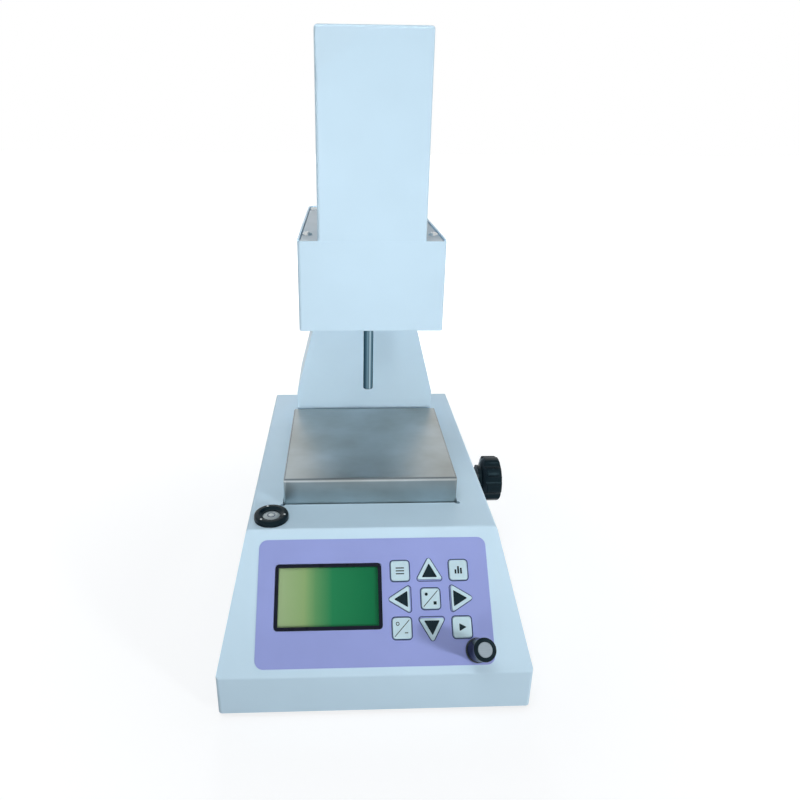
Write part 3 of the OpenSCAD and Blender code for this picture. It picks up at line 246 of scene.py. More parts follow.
def new_tree(name, input_names):
    """A Geometry Nodes tree that takes points and named sizes, with its input and output nodes."""
    tree = bpy.data.node_groups.new(name, "GeometryNodeTree")
    tree.interface.new_socket("Geometry", in_out="INPUT", socket_type="NodeSocketGeometry")
    for input_name in input_names:
        tree.interface.new_socket(input_name, in_out="INPUT", socket_type="NodeSocketFloat")
    tree.interface.new_socket("Geometry", in_out="OUTPUT", socket_type="NodeSocketGeometry")
    return tree, tree.nodes.new("NodeGroupInput"), tree.nodes.new("NodeGroupOutput")


def grow_on_points(tree, tree_in, tree_out, shape, finish):
    """Sets the shape on every point, turned to the point's own facing, and makes it real."""
    links = tree.links
    facing = tree.nodes.new("GeometryNodeInputNamedAttribute")
    facing.data_type = "FLOAT_VECTOR"
    facing.inputs["Name"].default_value = "facing"
    aim = tree.nodes.new("FunctionNodeAlignRotationToVector")
    aim.axis = "Z"
    copies = tree.nodes.new("GeometryNodeInstanceOnPoints")
    real = tree.nodes.new("GeometryNodeRealizeInstances")
    paint = tree.nodes.new("GeometryNodeSetMaterial")
    paint.inputs["Material"].default_value = finish
    links.new(facing.outputs["Attribute"], aim.inputs["Vector"])
    links.new(tree_in.outputs["Geometry"], copies.inputs["Points"])
    links.new(shape, copies.inputs["Instance"])
    links.new(aim.outputs["Rotation"], copies.inputs["Rotation"])
    links.new(copies.outputs["Instances"], real.inputs["Geometry"])
    links.new(real.outputs["Geometry"], paint.inputs["Geometry"])
    links.new(paint.outputs["Geometry"], tree_out.inputs["Geometry"])


def baked_mesh(name, tree, points, facings, sizes):
    """Runs the tree on points with their facings and sizes, and keeps its result as a mesh."""
    seats = bpy.data.meshes.new(name + "_seats")
    seats.from_pydata(points, [], [])
    attribute = seats.attributes.new("facing", "FLOAT_VECTOR", "POINT")
    for i, way in enumerate(facings):
        attribute.data[i].vector = way
    holder = bpy.data.objects.new(name + "_seats", seats)
    scene.collection.objects.link(holder)
    modifier = holder.modifiers.new("grown", "NODES")
    modifier.node_group = tree
    for item in tree.interface.items_tree:
        if item.in_out == "INPUT" and item.name in sizes:
            modifier[item.identifier] = sizes[item.name]
    depsgraph = bpy.context.evaluated_depsgraph_get()
    mesh = bpy.data.meshes.new_from_object(holder.evaluated_get(depsgraph))
    mesh.name = name
    mesh.shade_smooth()
    mesh.set_sharp_from_angle(angle=fold_angle)
    bpy.data.objects.remove(holder)
    return mesh


rib_tree, rib_in, rib_out = new_tree("grip_ribs", ("Rib width", "Rib depth", "Rib height"))
rib_size = rib_tree.nodes.new("ShaderNodeCombineXYZ")
rib_box = rib_tree.nodes.new("GeometryNodeMeshCube")
for rib_input, socket in zip(("Rib height", "Rib width", "Rib depth"), rib_size.inputs):
    rib_tree.links.new(rib_in.outputs[rib_input], socket)
rib_tree.links.new(rib_size.outputs["Vector"], rib_box.inputs["Size"])
grow_on_points(rib_tree, rib_in, rib_out, rib_box.outputs["Mesh"], foot_rubber)
rib_count = 24
rib_middle, rib_sink = 2.9 * MM, 0.45 * MM
rib_sizes = {"Rib width": 1.1 * MM, "Rib depth": 0.9 * MM, "Rib height": 2.2 * MM}


def spoke(angle):
    """A level direction at an angle from X."""
    return Vector((math.cos(angle), math.sin(angle), 0))


rib_ways = [spoke(2 * math.pi * k / rib_count) for k in range(rib_count)]
for foot in [node for node in frame["nodes"] if node.startswith("foot_")]:
    dress(foot, foot_rubber)
    foot_low, foot_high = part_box(foot)
    foot_axis = (foot_low + foot_high) / 2
    rib_ring = Vector((foot_axis.x, foot_axis.y, rib_middle))
    rib_radius = (foot_high.x - foot_low.x) / 2 - rib_sink
    rib_places = [rib_ring + way * rib_radius for way in rib_ways]
    rib_mesh = baked_mesh(foot + "_ribs", rib_tree, rib_places, rib_ways, rib_sizes)
    add_piece(foot + "_ribs", rib_mesh, foot_rubber, body_of_node[foot])

# Printed overlay: a lavender polyester film stuck on the sloped panel, cut out round the display,
# the keys and the trim control. Its title strip is left bare.
overlay_low, overlay_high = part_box("panel_overlay")
film_thickness = 0.4 * MM
slope = math.atan2(overlay_high.z - overlay_low.z, overlay_high.y - overlay_low.y)
panel_origin = Vector((
    (overlay_low.x + overlay_high.x) / 2,
    overlay_low.y,
    overlay_low.z + film_thickness * math.cos(slope),
))
panel = Matrix.Translation(panel_origin) @ Matrix.Rotation(slope, 4, "X")
to_panel = panel.inverted()
panel_out = Vector((0, -math.sin(slope), math.cos(slope)))
film_colour = tint(154, 166, 226)
film, film_shader = new_finish("lavender_film", film_colour, 0.5)
add_relief(film, film_shader, add_noise(film, 0.35 * MM), 0.02 * MM)
film_clouds = add_noise(film, 40 * MM)
add_clouds(film, film_shader, film_clouds, film_colour, 0.94)
add_sheen(film, film_shader, add_noise(film, 3 * MM), 0.44, 0.56)
dress("panel_overlay", film)

# Display: a green graphic panel behind a dark navy border. It is pale at its left end and deepens
# to the right.
border_colour = tint(11, 17, 36)
display_border, border_shader = new_finish("navy_border", border_colour, 0.3)
border_shader.inputs["Specular IOR Level"].default_value = 0.15
border_clouds = add_noise(display_border, 10 * MM)
add_sheen(display_border, border_shader, border_clouds, 0.26, 0.36)
add_clouds(display_border, border_shader, border_clouds, border_colour, 0.7)
dress("display_bezel", display_border, edge=0.2 * MM)


def place_along(finish, direction, start, end):
    """How far a point lies from start to end along a direction, as 0 to 1."""
    place = add_node(finish, "ShaderNodeTexCoord")
    along = finish.node_tree.nodes.new("ShaderNodeVectorMath")
    along.operation = "DOT_PRODUCT"
    along.inputs[1].default_value = direction
    share = add_node(finish, "ShaderNodeMapRange", From_Min=start, From_Max=end)
    finish.node_tree.links.new(place.outputs["Object"], along.inputs[0])
    finish.node_tree.links.new(along.outputs["Value"], share.inputs["Value"])
    return share.outputs["Result"]


glass_low, glass_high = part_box("display_glass")
display_green, green_shader = new_finish("display_green", tint(92, 158, 112), 0.2)
green_shader.inputs["Specular IOR Level"].default_value = 0.12
green_along = place_along(display_green, (1, 0, 0), glass_low.x, glass_high.x)
green_colour = add_ramp(display_green, green_along, [
    (0.02, tint(162, 187, 140)),
    (0.27, tint(142, 175, 118)),
    (0.38, tint(94, 152, 98)),
    (0.54, tint(34, 130, 82)),
    (0.97, tint(8, 112, 68)),
])
display_green.node_tree.links.new(green_colour, green_shader.inputs["Base Color"])
add_sheen(display_green, green_shader, add_noise(display_green, 8 * MM), 0.16, 0.24)
dress("display_glass", display_green)

# Keys: nine moulded caps that stand through the film, five square and four arrow-shaped.
# Each has a printed navy rim on the film round it and a plain printed sign on its face.
key_colour = tint(200, 227, 237)
key_moulding, key_shader = new_finish("pale_key", key_colour, 0.45)
add_relief(key_moulding, key_shader, add_noise(key_moulding, 0.3 * MM), 0.02 * MM)
key_clouds = add_noise(key_moulding, 6 * MM)
add_clouds(key_moulding, key_shader, key_clouds, key_colour, 0.93)
ink_thickness = 0.05 * MM


def new_ink(name, colour):
    """A matt printing ink with slight wear."""
    ink, shader = new_finish(name, colour, 0.6)
    shader.inputs["Specular IOR Level"].default_value = 0.2
    add_clouds(ink, shader, add_noise(ink, 2 * MM), colour, 0.75)
    return ink


navy_ink = new_ink("navy_ink", tint(26, 48, 92))
black_ink = new_ink("teal_black_ink", tint(12, 34, 42))


def rounded_outline(corners, radius, steps=5):
    """Points round a convex outline whose corners are arcs, anticlockwise."""
    points = []
    for i, corner in enumerate(corners):
        here = Vector(corner)
        before = (Vector(corners[i - 1]) - here).normalized()
        after = (Vector(corners[(i + 1) % len(corners)]) - here).normalized()
        half = before.angle(after) / 2
        centre = here + (before + after).normalized() * radius / math.sin(half)
        first = here + before * radius / math.tan(half) - centre
        start = math.atan2(first.y, first.x)
        for k in range(steps + 1):
            angle = start + (math.pi - 2 * half) * k / steps
            points.append(centre + Vector((math.cos(angle), math.sin(angle))) * radius)
    return points


def rectangle(width, height):
    """Corners of a rectangle round the origin, anticlockwise."""
    right, top = width / 2, height / 2
    return [(-right, -top), (right, -top), (right, top), (-right, top)]


def arrow_corners(tip, base, half, way):
    """Corners of a triangle that points along an angle, anticlockwise."""
    turn = Matrix.Rotation(way, 2)
    return [tuple(turn @ Vector(c)) for c in ((tip, 0), (-base, half), (-base, -half))]


def printed_mesh(name, place, shapes, low, high):
    """Thin closed prisms of flat outlines; a pair of outlines is a frame between the two."""
    shape = bmesh.new()

    def ring_of_verts(points, height):
        return [shape.verts.new(place @ Vector((p[0], p[1], height))) for p in points]

    for outer, inner in shapes:
        tops, bottoms = ring_of_verts(outer, high), ring_of_verts(outer, low)
        count = len(outer)
        if inner is None:
            shape.faces.new(tops)
            shape.faces.new(bottoms[::-1])
        else:
            inner_tops, inner_bottoms = ring_of_verts(inner, high), ring_of_verts(inner, low)
        for i in range(count):
            j = (i + 1) % count
            shape.faces.new((bottoms[i], bottoms[j], tops[j], tops[i]))
            if inner is not None:
                shape.faces.new((tops[i], tops[j], inner_tops[j], inner_tops[i]))
                shape.faces.new((bottoms[j], bottoms[i], inner_bottoms[i], inner_bottoms[j]))
                shape.faces.new((inner_bottoms[j], inner_bottoms[i], inner_tops[i], inner_tops[j]))
    mesh = bpy.data.meshes.new(name)
    bmesh.ops.recalc_face_normals(shape, faces=shape.faces)
    shape.to_mesh(mesh)
    shape.free()
    return mesh


def bar(x, y, width, height):
    return [(x + px, y + py) for px, py in rectangle(width, height)], None


def disc(x, y, radius, steps=24):
    turn = [2 * math.pi * k / steps for k in range(steps)]
    return [(x + radius * math.cos(a), y + radius * math.sin(a)) for a in turn], None


def ring(x, y, radius, width):
    return disc(x, y, radius)[0], disc(x, y, radius - width)[0]


def slant(width, length, steepness):
    """A thin stroke across a key from its lower left to its upper right."""
    turn = Matrix.Rotation(steepness, 2)
    return [tuple(turn @ Vector(p)) for p in rectangle(length, width)], None


key_width, key_height, key_radius = 13.0 * MM, 13.8 * MM, 2.0 * MM
arrow_tip, arrow_base, arrow_half, arrow_radius = 9.6 * MM, 6.2 * MM, 9.4 * MM, 1.2 * MM
pointer_tip, pointer_base, pointer_half, pointer_radius = 5.6 * MM, 4.2 * MM, 5.6 * MM, 0.4 * MM
key_face = 0.7 * MM
rim_gap, rim_width = 0.35 * MM, 0.55 * MM
rim_edges = (rim_gap + rim_width, rim_gap)
ways = {"key_right": 0, "key_up": math.pi / 2, "key_left": math.pi, "key_down": -math.pi / 2}
across = slant(0.5 * MM, 15 * MM, math.radians(46))
sign_corner = 3 * MM
chart_foot, chart_bars = -2.6 * MM, ((-2 * MM, 3 * MM), (0, 5.2 * MM), (2 * MM, 4 * MM))
start_corners = arrow_corners(3 * MM, 2 * MM, 2.6 * MM, 0)
signs = {
    "key_menu": [bar(0, y * MM, 6 * MM, 0.8 * MM) for y in (-2, 0, 2)],
    "key_data": [bar(x, chart_foot + tall / 2, 1.3 * MM, tall) for x, tall in chart_bars],
    "key_enter": [
        across,
        disc(-sign_corner, sign_corner, 1.1 * MM),
        bar(sign_corner, -sign_corner, 2.2 * MM, 2.2 * MM),
    ],
    "key_return": [
        across,
        ring(-sign_corner, sign_corner, 1.3 * MM, 0.5 * MM),
        bar(sign_corner, -sign_corner, 2.4 * MM, 0.6 * MM),
    ],
    "key_start": [(rounded_outline(start_corners, 0.3 * MM), None)],
}


def arrow_outline(way, grow):
    """An arrow key's outline, spread outwards by a distance."""
    spread = arrow_corners(arrow_tip + 2 * grow, arrow_base + grow, arrow_half + 1.7 * grow, way)
    return rounded_outline(spread, arrow_radius + grow)


def square_outline(grow):
    """A square key's outline, spread outwards by a distance."""
    spread = rectangle(key_width + 2 * grow, key_height + 2 * grow)
    return rounded_outline(spread, key_radius + grow)


rim_shapes = []
for key in [node for node in frame["nodes"] if node.startswith("key_") and node != "key_board"]:
    key_low, key_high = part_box(key)
    middle = to_panel @ ((key_low + key_high) / 2)
    if key in ways:
        # The box of a triangle isn't centred on the key's own centre
        shift = Matrix.Rotation(ways[key], 2) @ Vector(((arrow_tip - arrow_base) / 2, 0))
        middle -= Vector((shift.x, shift.y, 0))
        outlines = [arrow_outline(ways[key], grow) for grow in rim_edges]
        pointer = arrow_corners(pointer_tip, pointer_base, pointer_half, ways[key])
        sign = [(rounded_outline(pointer, pointer_radius), None)]
    else:
        outlines = [square_outline(grow) for grow in rim_edges]
        sign = signs[key]
    dress(key, key_moulding, edge=0.25 * MM)
    on_key = panel @ Matrix.Translation((middle.x, middle.y, 0))
    sign_mesh = printed_mesh(key + "_sign", on_key, sign, key_face, key_face + ink_thickness)
    add_piece(key + "_sign", sign_mesh, black_ink, body_of_node[key])
    rim_shapes.append([[(p.x + middle.x, p.y + middle.y) for p in outline] for outline in outlines])
rim_mesh = printed_mesh("key_rims", panel, rim_shapes, 0, ink_thickness)
add_piece("key_rims", rim_mesh, navy_ink, "frame")

# Trim control: a turned barrel with dark chrome on a bright foot, a black end ring and a grey disc.
# It is pushed on the shaft of the control behind the panel.
trim_length = 24 * MM
trim_low = min(panel_out.dot(v.co) for v in frame["nodes"]["trim_knob"].data.vertices)
dark_chrome, chrome_shader = new_finish("dark_chrome", tint(84, 90, 98), 0.16, metallic=1.0)
chrome_shader.inputs["Specular Tint"].default_value = (0.3, 0.32, 0.36, 1.0)
chrome_up = place_along(dark_chrome, panel_out, trim_low, trim_low + trim_length)
chrome_colour = add_ramp(dark_chrome, chrome_up, [
    (0.055, tint(226, 230, 232)),
    (0.07, tint(72, 78, 86)),
    (0.5, tint(88, 94, 102)),
    (0.95, tint(76, 82, 90)),
])
dark_chrome.node_tree.links.new(chrome_colour, chrome_shader.inputs["Base Color"])
chrome_brushing = add_noise(dark_chrome, 0.4 * MM, stretch=(1, 1, 0.1))
add_sheen(dark_chrome, chrome_shader, chrome_brushing, 0.12, 0.22)
dress("trim_knob", dark_chrome, edge=0.25 * MM)
disc_colour = tint(150, 164, 174)
disc_alloy, disc_shader = new_finish("brushed_disc", disc_colour, 0.42, metallic=0.6)
disc_brushing = add_noise(disc_alloy, 0.8 * MM, stretch=(0.1, 1, 1))
add_sheen(disc_alloy, disc_shader, disc_brushing, 0.36, 0.5)
add_clouds(disc_alloy, disc_shader, disc_brushing, disc_colour, 0.86)
dress("trim_knob_cap", disc_alloy, edge=0.2 * MM)

# Black mouldings: the lift knob, the trim control's end ring, the level's housing, the inlet with
# its fuse drawer and rocker, and the scale's reader. Each is moulded with a fine grain.
moulding_colour = tint(8, 20, 27)
black_moulding, moulding_shader = new_finish("black_moulding", moulding_colour, 0.26)
moulding_shader.inputs["Specular IOR Level"].default_value = 0.2
moulding_shader.inputs["Specular Tint"].default_value = (0.5, 0.85, 1.0, 1.0)
add_relief(black_moulding, moulding_shader, add_noise(black_moulding, 0.25 * MM), 0.03 * MM)
moulding_flow = add_noise(black_moulding, 14 * MM)
add_sheen(black_moulding, moulding_shader, moulding_flow, 0.18, 0.28)
add_clouds(black_moulding, moulding_shader, moulding_flow, moulding_colour, 0.75)
for moulding in (
    "trim_knob_ring", "level_body", "power_inlet", "fuse_drawer", "switch_rocker", "scale_reader",
):
    dress(moulding, black_moulding, edge=0.3 * MM)
dress("lift_knob", black_moulding, edge=0.6 * MM)

# Circular level: a glass vial under a shallow dome, sunk in its black housing, with a printed ring
# and a bubble. Three small screws hold the housing to the flat top.
vial_colour = tint(176, 190, 194)
vial_glass, vial_shader = new_finish("level_glass", vial_colour, 0.08)
vial_shader.inputs["Coat Weight"].default_value = 0.6
vial_fluid = add_noise(vial_glass, 5 * MM)
add_clouds(vial_glass, vial_shader, vial_fluid, vial_colour, 0.86)
dress("level_vial", vial_glass, sharp=math.radians(50))


def top_middle(low, high):
    """The middle of the top of a box."""
    return Vector(((low.x + high.x) / 2, (low.y + high.y) / 2, high.z))


vial_low, vial_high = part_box("level_vial")
on_vial = Matrix.Translation(top_middle(vial_low, vial_high))
level_ring = ring(0, 0, 3.0 * MM, 0.5 * MM)
print_root = -0.1 * MM
mark_mesh = printed_mesh("level_mark", on_vial, [level_ring], print_root, ink_thickness)
add_piece("level_mark", mark_mesh, navy_ink, "frame")
bubble_tone, bubble_shader = new_finish("level_bubble", tint(206, 216, 216), 0.05)
add_sheen(bubble_tone, bubble_shader, add_noise(bubble_tone, 2 * MM), 0.04, 0.1)
level_bubble = disc(-0.4 * MM, 0.3 * MM, 1.6 * MM)
bubble_mesh = printed_mesh("level_bubble", on_vial, [level_bubble], print_root, 0.03 * MM)
add_piece("level_bubble", bubble_mesh, bubble_tone, "frame")

# Platform tray: satin stainless sheet, folded down on all four sides and set on its carrier. The
# top is brushed from side to side, with worn clouds. Painted shade darkens its folded sides towards
# the top fold, where a painted highlight and a painted shaded band run along it.
tray_low, tray_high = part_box("platform_tray")
satin_steel, satin_shader = new_finish("satin_stainless", tint(158, 172, 180), 0.34, metallic=1.0)
# Painted light by height: shade on the sides, then a highlight and a shaded band at the top fold.
tray_up = place_along(satin_steel, (0, 0, 1), tray_low.z, tray_high.z)
tray_painted_light = add_ramp(satin_steel, tray_up, [
    (0.2, tint(180, 196, 202)),
    (0.5, tint(160, 177, 184)),
    (0.88, tint(144, 160, 168)),
    (0.93, tint(208, 217, 221)),
    (0.965, tint(128, 140, 147)),
    (0.985, tint(98, 110, 118)),
    (0.999, tint(177, 186, 189)),
])
tray_clouds = add_ramp(satin_steel, add_noise(satin_steel, 45 * MM, detail=3), [
    (0.3, (0.73, 0.7, 0.66)),
    (0.7, (1.0, 1.0, 1.0)),
])
mix_share, mix_first, mix_second, mix_result = 0, 6, 7, 2
tray_mix = satin_steel.node_tree.nodes.new("ShaderNodeMix")
tray_mix.data_type = "RGBA"
tray_mix.blend_type = "MULTIPLY"
tray_mix.inputs[mix_share].default_value = 1.0
satin_steel.node_tree.links.new(tray_painted_light, tray_mix.inputs[mix_first])
satin_steel.node_tree.links.new(tray_clouds, tray_mix.inputs[mix_second])
satin_steel.node_tree.links.new(tray_mix.outputs[mix_result], satin_shader.inputs["Base Color"])
tray_brushing = add_noise(satin_steel, 0.5 * MM, stretch=(0.02, 1, 1), detail=3)
add_sheen(satin_steel, satin_shader, tray_brushing, 0.3, 0.44)
add_relief(satin_steel, satin_shader, tray_brushing, 0.02 * MM)
dress("platform_tray", satin_steel, edge=0.3 * MM)

# Ground bars: the lift's stem, the rack on it, the cross shaft and the trim control's shaft are
# ground steel. Fine grinding marks run level across them.
ground_colour = tint(182, 188, 192)
ground_steel, ground_shader = new_finish("ground_steel", ground_colour, 0.26, metallic=1.0)
ground_grain = add_noise(ground_steel, 0.3 * MM, stretch=(1, 1, 3))
add_sheen(ground_steel, ground_shader, ground_grain, 0.2, 0.34)
add_clouds(ground_steel, ground_shader, ground_grain, ground_colour, 0.85)
for ground_bar in ("lift_stem", "lift_rack", "lift_shaft", "trim_shaft"):
    dress(ground_bar, ground_steel, edge=0.2 * MM)

# Spindle: a ground and polished bar that falls through its bushes, flat at its lower end with a
# tapped hole for a cone. Its colour carries painted reflections in stripes down it: a painted
# highlight right of the middle and painted shade towards its edges.
rod_low, rod_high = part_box("spindle_rod")
rod_colour = tint(98, 124, 138)
polished_steel, polished_shader = new_finish("polished_steel", rod_colour, 0.16, metallic=1.0)
polished_shader.inputs["Specular Tint"].default_value = (0.3, 0.4, 0.46, 1.0)
# Painted reflections across the rod: a highlight right of the middle and shade at its edges.
rod_across = place_along(polished_steel, (1, 0, 0), rod_low.x, rod_high.x)
painted_highlight_stripes = add_ramp(polished_steel, rod_across, [
    (0.08, tint(36, 64, 78)),
    (0.26, tint(58, 86, 100)),
    (0.38, tint(104, 132, 146)),
    (0.5, tint(86, 114, 128)),
    (0.57, tint(98, 126, 140)),
    (0.65, tint(170, 192, 203)),
    (0.76, tint(92, 120, 134)),
    (0.92, tint(68, 94, 107)),
])
polished_steel.node_tree.links.new(painted_highlight_stripes, polished_shader.inputs["Base Color"])
rod_polish = add_noise(polished_steel, 0.4 * MM, stretch=(1, 1, 0.05))
add_sheen(polished_steel, polished_shader, rod_polish, 0.12, 0.2)
dress("spindle_rod", polished_steel, edge=0.25 * MM)

# Machine screws: pan heads with a cross recess hold the cover, the head's lid and the column's
# back, and three small ones the level. They are turned and plated.
screw_colour = tint(214, 220, 222)
screw_plate, screw_shader = new_finish("plated_screw", screw_colour, 0.24, metallic=1.0)
screw_wear = add_noise(screw_plate, 1.2 * MM)
add_clouds(screw_plate, screw_shader, screw_wear, screw_colour, 0.7)
add_sheen(screw_plate, screw_shader, screw_wear, 0.2, 0.32)
head_inputs = ("Head radius", "Head height", "Recess width")
screw_tree, screw_in, screw_out = new_tree("pan_screws", head_inputs)


def tree_node(kind, **settings):
    """A node of the screw heads' tree with some of its settings made."""
    node = screw_tree.nodes.new(kind)
    for name, value in settings.items():
        setattr(node, name, value)
    return node


def join(source, socket):
    screw_tree.links.new(source, socket)


def product(value, factor):
    node = tree_node("ShaderNodeMath", operation="MULTIPLY")
    join(value, node.inputs[0])
    node.inputs[1].default_value = factor
    return node.outputs[0]


def vector_of(x, y, z):
    node = tree_node("ShaderNodeCombineXYZ")
    for value, socket in zip((x, y, z), node.inputs):
        join(value, socket)
    return node.outputs[0]


head_radius, head_height, recess_width = (screw_in.outputs[name] for name in head_inputs)
dome = tree_node("GeometryNodeMeshUVSphere")
dome.inputs["Segments"].default_value = 32
dome.inputs["Rings"].default_value = 16
pressed_dome = tree_node("GeometryNodeTransform")
join(dome.outputs["Mesh"], pressed_dome.inputs["Geometry"])
join(vector_of(head_radius, head_radius, head_height), pressed_dome.inputs["Scale"])
cutters = tree_node("GeometryNodeJoinGeometry")
nothing = product(head_height, 0)


def add_cutter(size, lift):
    """A box that is taken out of the dome, with its centre on the axis."""
    block = tree_node("GeometryNodeMeshCube")
    join(vector_of(*size), block.inputs["Size"])
    raised = tree_node("GeometryNodeTransform")
    join(block.outputs["Mesh"], raised.inputs["Geometry"])
    join(vector_of(nothing, nothing, lift), raised.inputs["Translation"])
    join(raised.outputs["Geometry"], cutters.inputs["Geometry"])


slot_length, slot_middle = product(head_radius, 1.05), product(head_height, 0.98)
under_width, under_height, under_middle = (
    product(head_radius, 3), product(head_height, 2), product(head_height, -1),
)
add_cutter((slot_length, recess_width, head_height), slot_middle)
add_cutter((recess_width, slot_length, head_height), slot_middle)
add_cutter((under_width, under_width, under_height), under_middle)
cut = tree_node("GeometryNodeMeshBoolean", operation="DIFFERENCE")
join(pressed_dome.outputs["Geometry"], cut.inputs["Mesh 1"])
join(cutters.outputs["Geometry"], cut.inputs["Mesh 2"])
grow_on_points(screw_tree, screw_in, screw_out, cut.outputs["Mesh"], screw_plate)
shank_reach = 3 * MM


def screw_seats(node):
    """Centre of each screw head's seat and the way it faces, from the CAD node's own solids."""
    shape = bmesh.new()
    shape.from_mesh(merged_copy(node))
    waiting = set(shape.verts)
    seats, facings = [], []
    while waiting:
        group, front = set(), [waiting.pop()]
        while front:
            vert = front.pop()
            group.add(vert)
            fresh = [e.other_vert(vert) for e in vert.link_edges if e.other_vert(vert) in waiting]
            waiting.difference_update(fresh)
            front.extend(fresh)
        places = [v.co for v in group]
        low = Vector([min(p[i] for p in places) for i in range(3)])
        high = Vector([max(p[i] for p in places) for i in range(3)])
        axis = max(range(3), key=lambda i: high[i] - low[i])
        others = [i for i in range(3) if i != axis]
        seat = (low + high) / 2
        head = [p for p in places if max(abs(p[i] - seat[i]) for i in others) > shank_reach]
        sign = 1 if head[0][axis] > seat[axis] else -1
        facing = Vector((0, 0, 0))
        facing[axis] = sign
        seat[axis] = sign * min(sign * p[axis] for p in head)
        seats.append(seat)
        facings.append(facing)
    shape.free()
    return seats, facings


case_seats, case_facings = screw_seats("case_screws")
case_sizes = {"Head radius": 3.8 * MM, "Head height": 2.3 * MM, "Recess width": 1.0 * MM}
case_mesh = baked_mesh("case_screw_heads", screw_tree, case_seats, case_facings, case_sizes)
case_heads = add_piece("case_screw_heads", case_mesh, screw_plate, "frame")
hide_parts("case_screws")
level_low, level_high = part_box("level_body")
level_top = top_middle(level_low, level_high)
level_screw_angles, level_screw_radius = (110, 230, 350), 10.4 * MM
level_ways = [spoke(math.radians(angle)) for angle in level_screw_angles]
level_seats = [level_top + way * level_screw_radius for way in level_ways]
level_facings = [Vector((0, 0, 1)) for way in level_ways]
level_sizes = {"Head radius": 0.9 * MM, "Head height": 0.45 * MM, "Recess width": 0.3 * MM}
level_mesh = baked_mesh("level_screw_heads", screw_tree, level_seats, level_facings, level_sizes)
add_piece("level_screw_heads", level_mesh, screw_plate, "frame")

# Inlet trim: the connector's three blades are bright steel, and the rocker carries the plain stroke
# and ring of a mains switch, printed in white.
inlet_low, inlet_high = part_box("power_inlet")
inlet_middle = (inlet_low + inlet_high) / 2
inlet_face = Vector((inlet_middle.x, inlet_high.y, inlet_middle.z))
blade_offsets = [Vector(offset) * MM for offset in ((-23, -11, 3), (-9, -11, 3), (-16, -11, 7))]
blade_size = Matrix.Diagonal((2.2 * MM, 10.2 * MM, 4.2 * MM, 1))
blade_shape = bmesh.new()
for blade_offset in blade_offsets:
    blade_place = Matrix.Translation(inlet_face + blade_offset) @ blade_size
    bmesh.ops.create_cube(blade_shape, size=1, matrix=blade_place)
blade_mesh = bpy.data.meshes.new("inlet_blades")
blade_shape.to_mesh(blade_mesh)
blade_shape.free()
add_piece("inlet_blades", blade_mesh, ground_steel, "frame")
white_ink = new_ink("white_ink", tint(226, 228, 228))
rocker_offset, rocker_tilt = Vector((15, -6, 0)) * MM, math.radians(9)
rocker_dish, rocker_reach = 1.0 * MM, 9.4 * MM
sign_out, sign_up = 8.5 * MM, 4.7 * MM
rocker_body, rocker_slot = body_of_node["switch_rocker"], slot_of_node["switch_rocker"]
rocker_pin = Matrix.Translation(inlet_face + rocker_offset) @ Matrix.Rotation(rocker_tilt, 4, "X")
rocker_signs = {
    "stroke": (1, bar(0, 0, 0.9 * MM, 4 * MM)),
    "ring": (-1, ring(0, 0, 2.1 * MM, 0.6 * MM)),
}
for sign_name, (side, sign_shape) in rocker_signs.items():
    across_face = Vector((-1, 0, 0))
    up_face = Vector((0, side * rocker_dish, rocker_reach)).normalized()
    turn = Matrix((across_face, up_face, across_face.cross(up_face))).transposed().to_4x4()
    on_rocker = rocker_pin @ Matrix.Translation((0, sign_out, side * sign_up)) @ turn
    sign_mesh = printed_mesh(
        "rocker_" + sign_name, on_rocker, [sign_shape], -ink_thickness, ink_thickness,
    )
    add_piece("rocker_" + sign_name, sign_mesh, white_ink, rocker_body)

# Studio: a pale floor that fades into a white surround. A low key light stands at the right front,
# soft lights in front, above and behind, and a small lamp gives the black knobs their glint.
floor_width = 16.0
floor_mesh = bpy.data.meshes.new("floor")
floor_corners = [(x, y, 0) for x, y in rectangle(floor_width, floor_width)]
floor_mesh.from_pydata(floor_corners, [], [(0, 1, 2, 3)])
floor = bpy.data.objects.new("floor", floor_mesh)
scene.collection.objects.link(floor)
floor_finish, floor_shader = new_finish("pale_floor", tint(146, 149, 152), 0.8)
floor_mesh.materials.append(floor_finish)


def seen_rays(nodes, links):
    """One for rays whose hit is seen directly, in a reflection or through glass, else nought."""
    rays = nodes.new("ShaderNodeLightPath")
    shown = rays.outputs["Is Camera Ray"]
    for ray in ("Is Glossy Ray", "Is Transmission Ray"):
        either = nodes.new("ShaderNodeMath")
        either.operation = "MAXIMUM"
        links.new(shown, either.inputs[0])
        links.new(rays.outputs[ray], either.inputs[1])
        shown = either.outputs[0]
    return shown


floor_nodes, floor_links = floor_finish.node_tree.nodes, floor_finish.node_tree.links
floor_place = floor_nodes.new("ShaderNodeTexCoord")
floor_reach = floor_nodes.new("ShaderNodeVectorMath")
floor_reach.operation = "LENGTH"
floor_glow = add_node(
    floor_finish, "ShaderNodeMapRange", From_Min=0.2, From_Max=0.8, To_Min=0.76, To_Max=1.0,
)
floor_seen = floor_nodes.new("ShaderNodeMath")
floor_seen.operation = "MULTIPLY"
floor_links.new(floor_place.outputs["Object"], floor_reach.inputs[0])
floor_links.new(floor_reach.outputs["Value"], floor_glow.inputs["Value"])
floor_links.new(floor_glow.outputs["Result"], floor_seen.inputs[0])
floor_links.new(seen_rays(floor_nodes, floor_links), floor_seen.inputs[1])
floor_shader.inputs["Emission Color"].default_value = (1, 1, 1, 1)
floor_links.new(floor_seen.outputs[0], floor_shader.inputs["Emission Strength"])


def add_lamp(name, place, aim_at, size, power, spread=180, mirrored=False):
    """A square soft light; only a mirrored one leaves a bright patch on glossy pieces."""
    lamp = bpy.data.lights.new(name, "AREA")
    lamp.size = size
    lamp.energy = power
    lamp.spread = math.radians(spread)
    holder = bpy.data.objects.new(name, lamp)
    holder.location = place
    holder.rotation_euler = (Vector(aim_at) - Vector(place)).to_track_quat("-Z", "Y").to_euler()
    holder.visible_glossy = mirrored
    scene.collection.objects.link(holder)


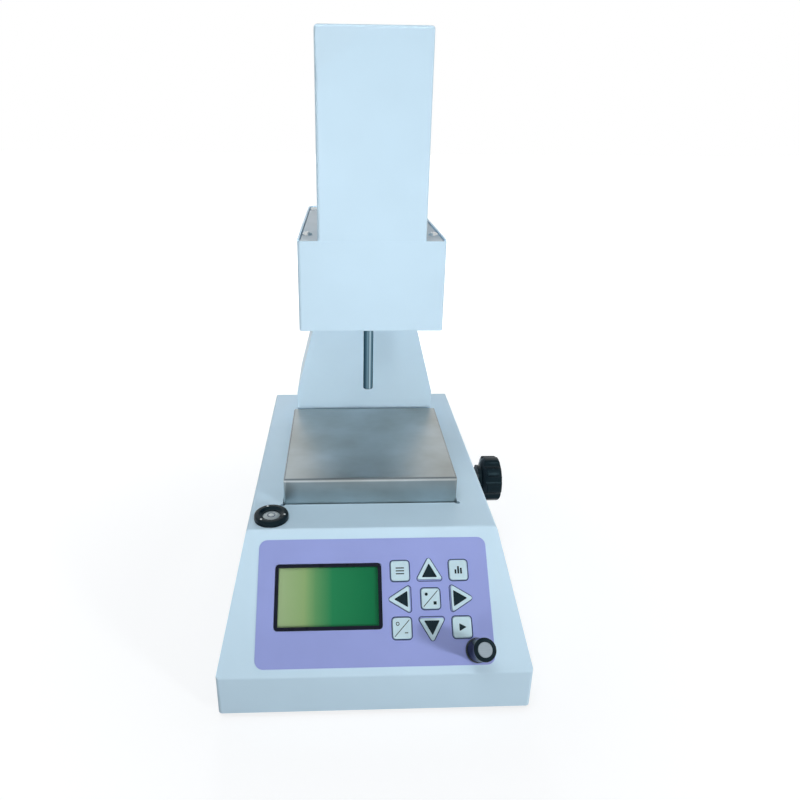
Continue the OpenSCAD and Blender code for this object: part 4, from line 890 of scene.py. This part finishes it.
add_lamp("key_light", (2.59, -2.38, 0.854), (0, 0, 0.15), size=0.45, power=60.0)
glint_place, glint_aim = (0.42, -0.77, 1.0), (0.12, -0.03, 0.085)
add_lamp("glint_light", glint_place, glint_aim, size=0.3, power=0.017, spread=16, mirrored=True)
add_lamp("front_light", (-0.3, -1.2, 0.38), (0, 0.1, 0.3), size=0.35, power=0.24, spread=36)
add_lamp("top_light", (-0.3, -0.5, 1.6), (0, 0, 0.1), size=0.8, power=7.0)
add_lamp("back_light", (-0.1, 1.9, 0.55), (0, 0, 0.2), size=1.0, power=22.0)
world = bpy.data.worlds.new("studio")
scene.world = world
world.use_nodes = True
world_nodes, world_links = world.node_tree.nodes, world.node_tree.links
soft_sky = world_nodes["Background"]
soft_sky.inputs["Color"].default_value = (0.92, 0.97, 1.0, 1)
soft_sky.inputs["Strength"].default_value = 0.2
white_sky = world_nodes.new("ShaderNodeBackground")
white_sky.inputs["Color"].default_value = (1, 1, 1, 1)
sky_mix = world_nodes.new("ShaderNodeMixShader")
world_links.new(seen_rays(world_nodes, world_links), sky_mix.inputs["Fac"])
world_links.new(soft_sky.outputs["Background"], sky_mix.inputs[1])
world_links.new(white_sky.outputs["Background"], sky_mix.inputs[2])
world_links.new(sky_mix.outputs["Shader"], world_nodes["World Output"].inputs["Surface"])
scene.view_settings.view_transform = "Standard"

# Camera: a wide lens in front of the keypad, a little left of the middle and looking down. It is
# placed from the foot of the skirt's front.
yaw, pitch, roll = 0.043, 0.371, 0.010
level_ahead = Vector((math.sin(yaw), math.cos(yaw), 0))
forward = level_ahead * math.cos(pitch) - Vector((0, 0, math.sin(pitch)))
level_right = Vector((math.cos(yaw), -math.sin(yaw), 0))
level_up = level_right.cross(forward)
camera_right = math.cos(roll) * level_right + math.sin(roll) * level_up
camera_up = -math.sin(roll) * level_right + math.cos(roll) * level_up
camera_data = bpy.data.cameras.new("photo_camera")
camera_data.sensor_width = 36.0
camera_data.lens = 29.4617
camera_data.shift_x = 0.04105
camera_data.shift_y = -0.03064
camera = bpy.data.objects.new("photo_camera", camera_data)
skirt_low, skirt_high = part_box("base_cover")
skirt_front = Vector(((skirt_low.x + skirt_high.x) / 2, skirt_low.y, skirt_low.z))
eye_offset = Vector((-22.811, -341.121, 383.308)) * MM
eye = skirt_front + eye_offset
camera_turn = Matrix((camera_right, camera_up, -forward)).transposed().to_4x4()
camera.matrix_world = Matrix.Translation(eye) @ camera_turn
scene.collection.objects.link(camera)
scene.camera = camera
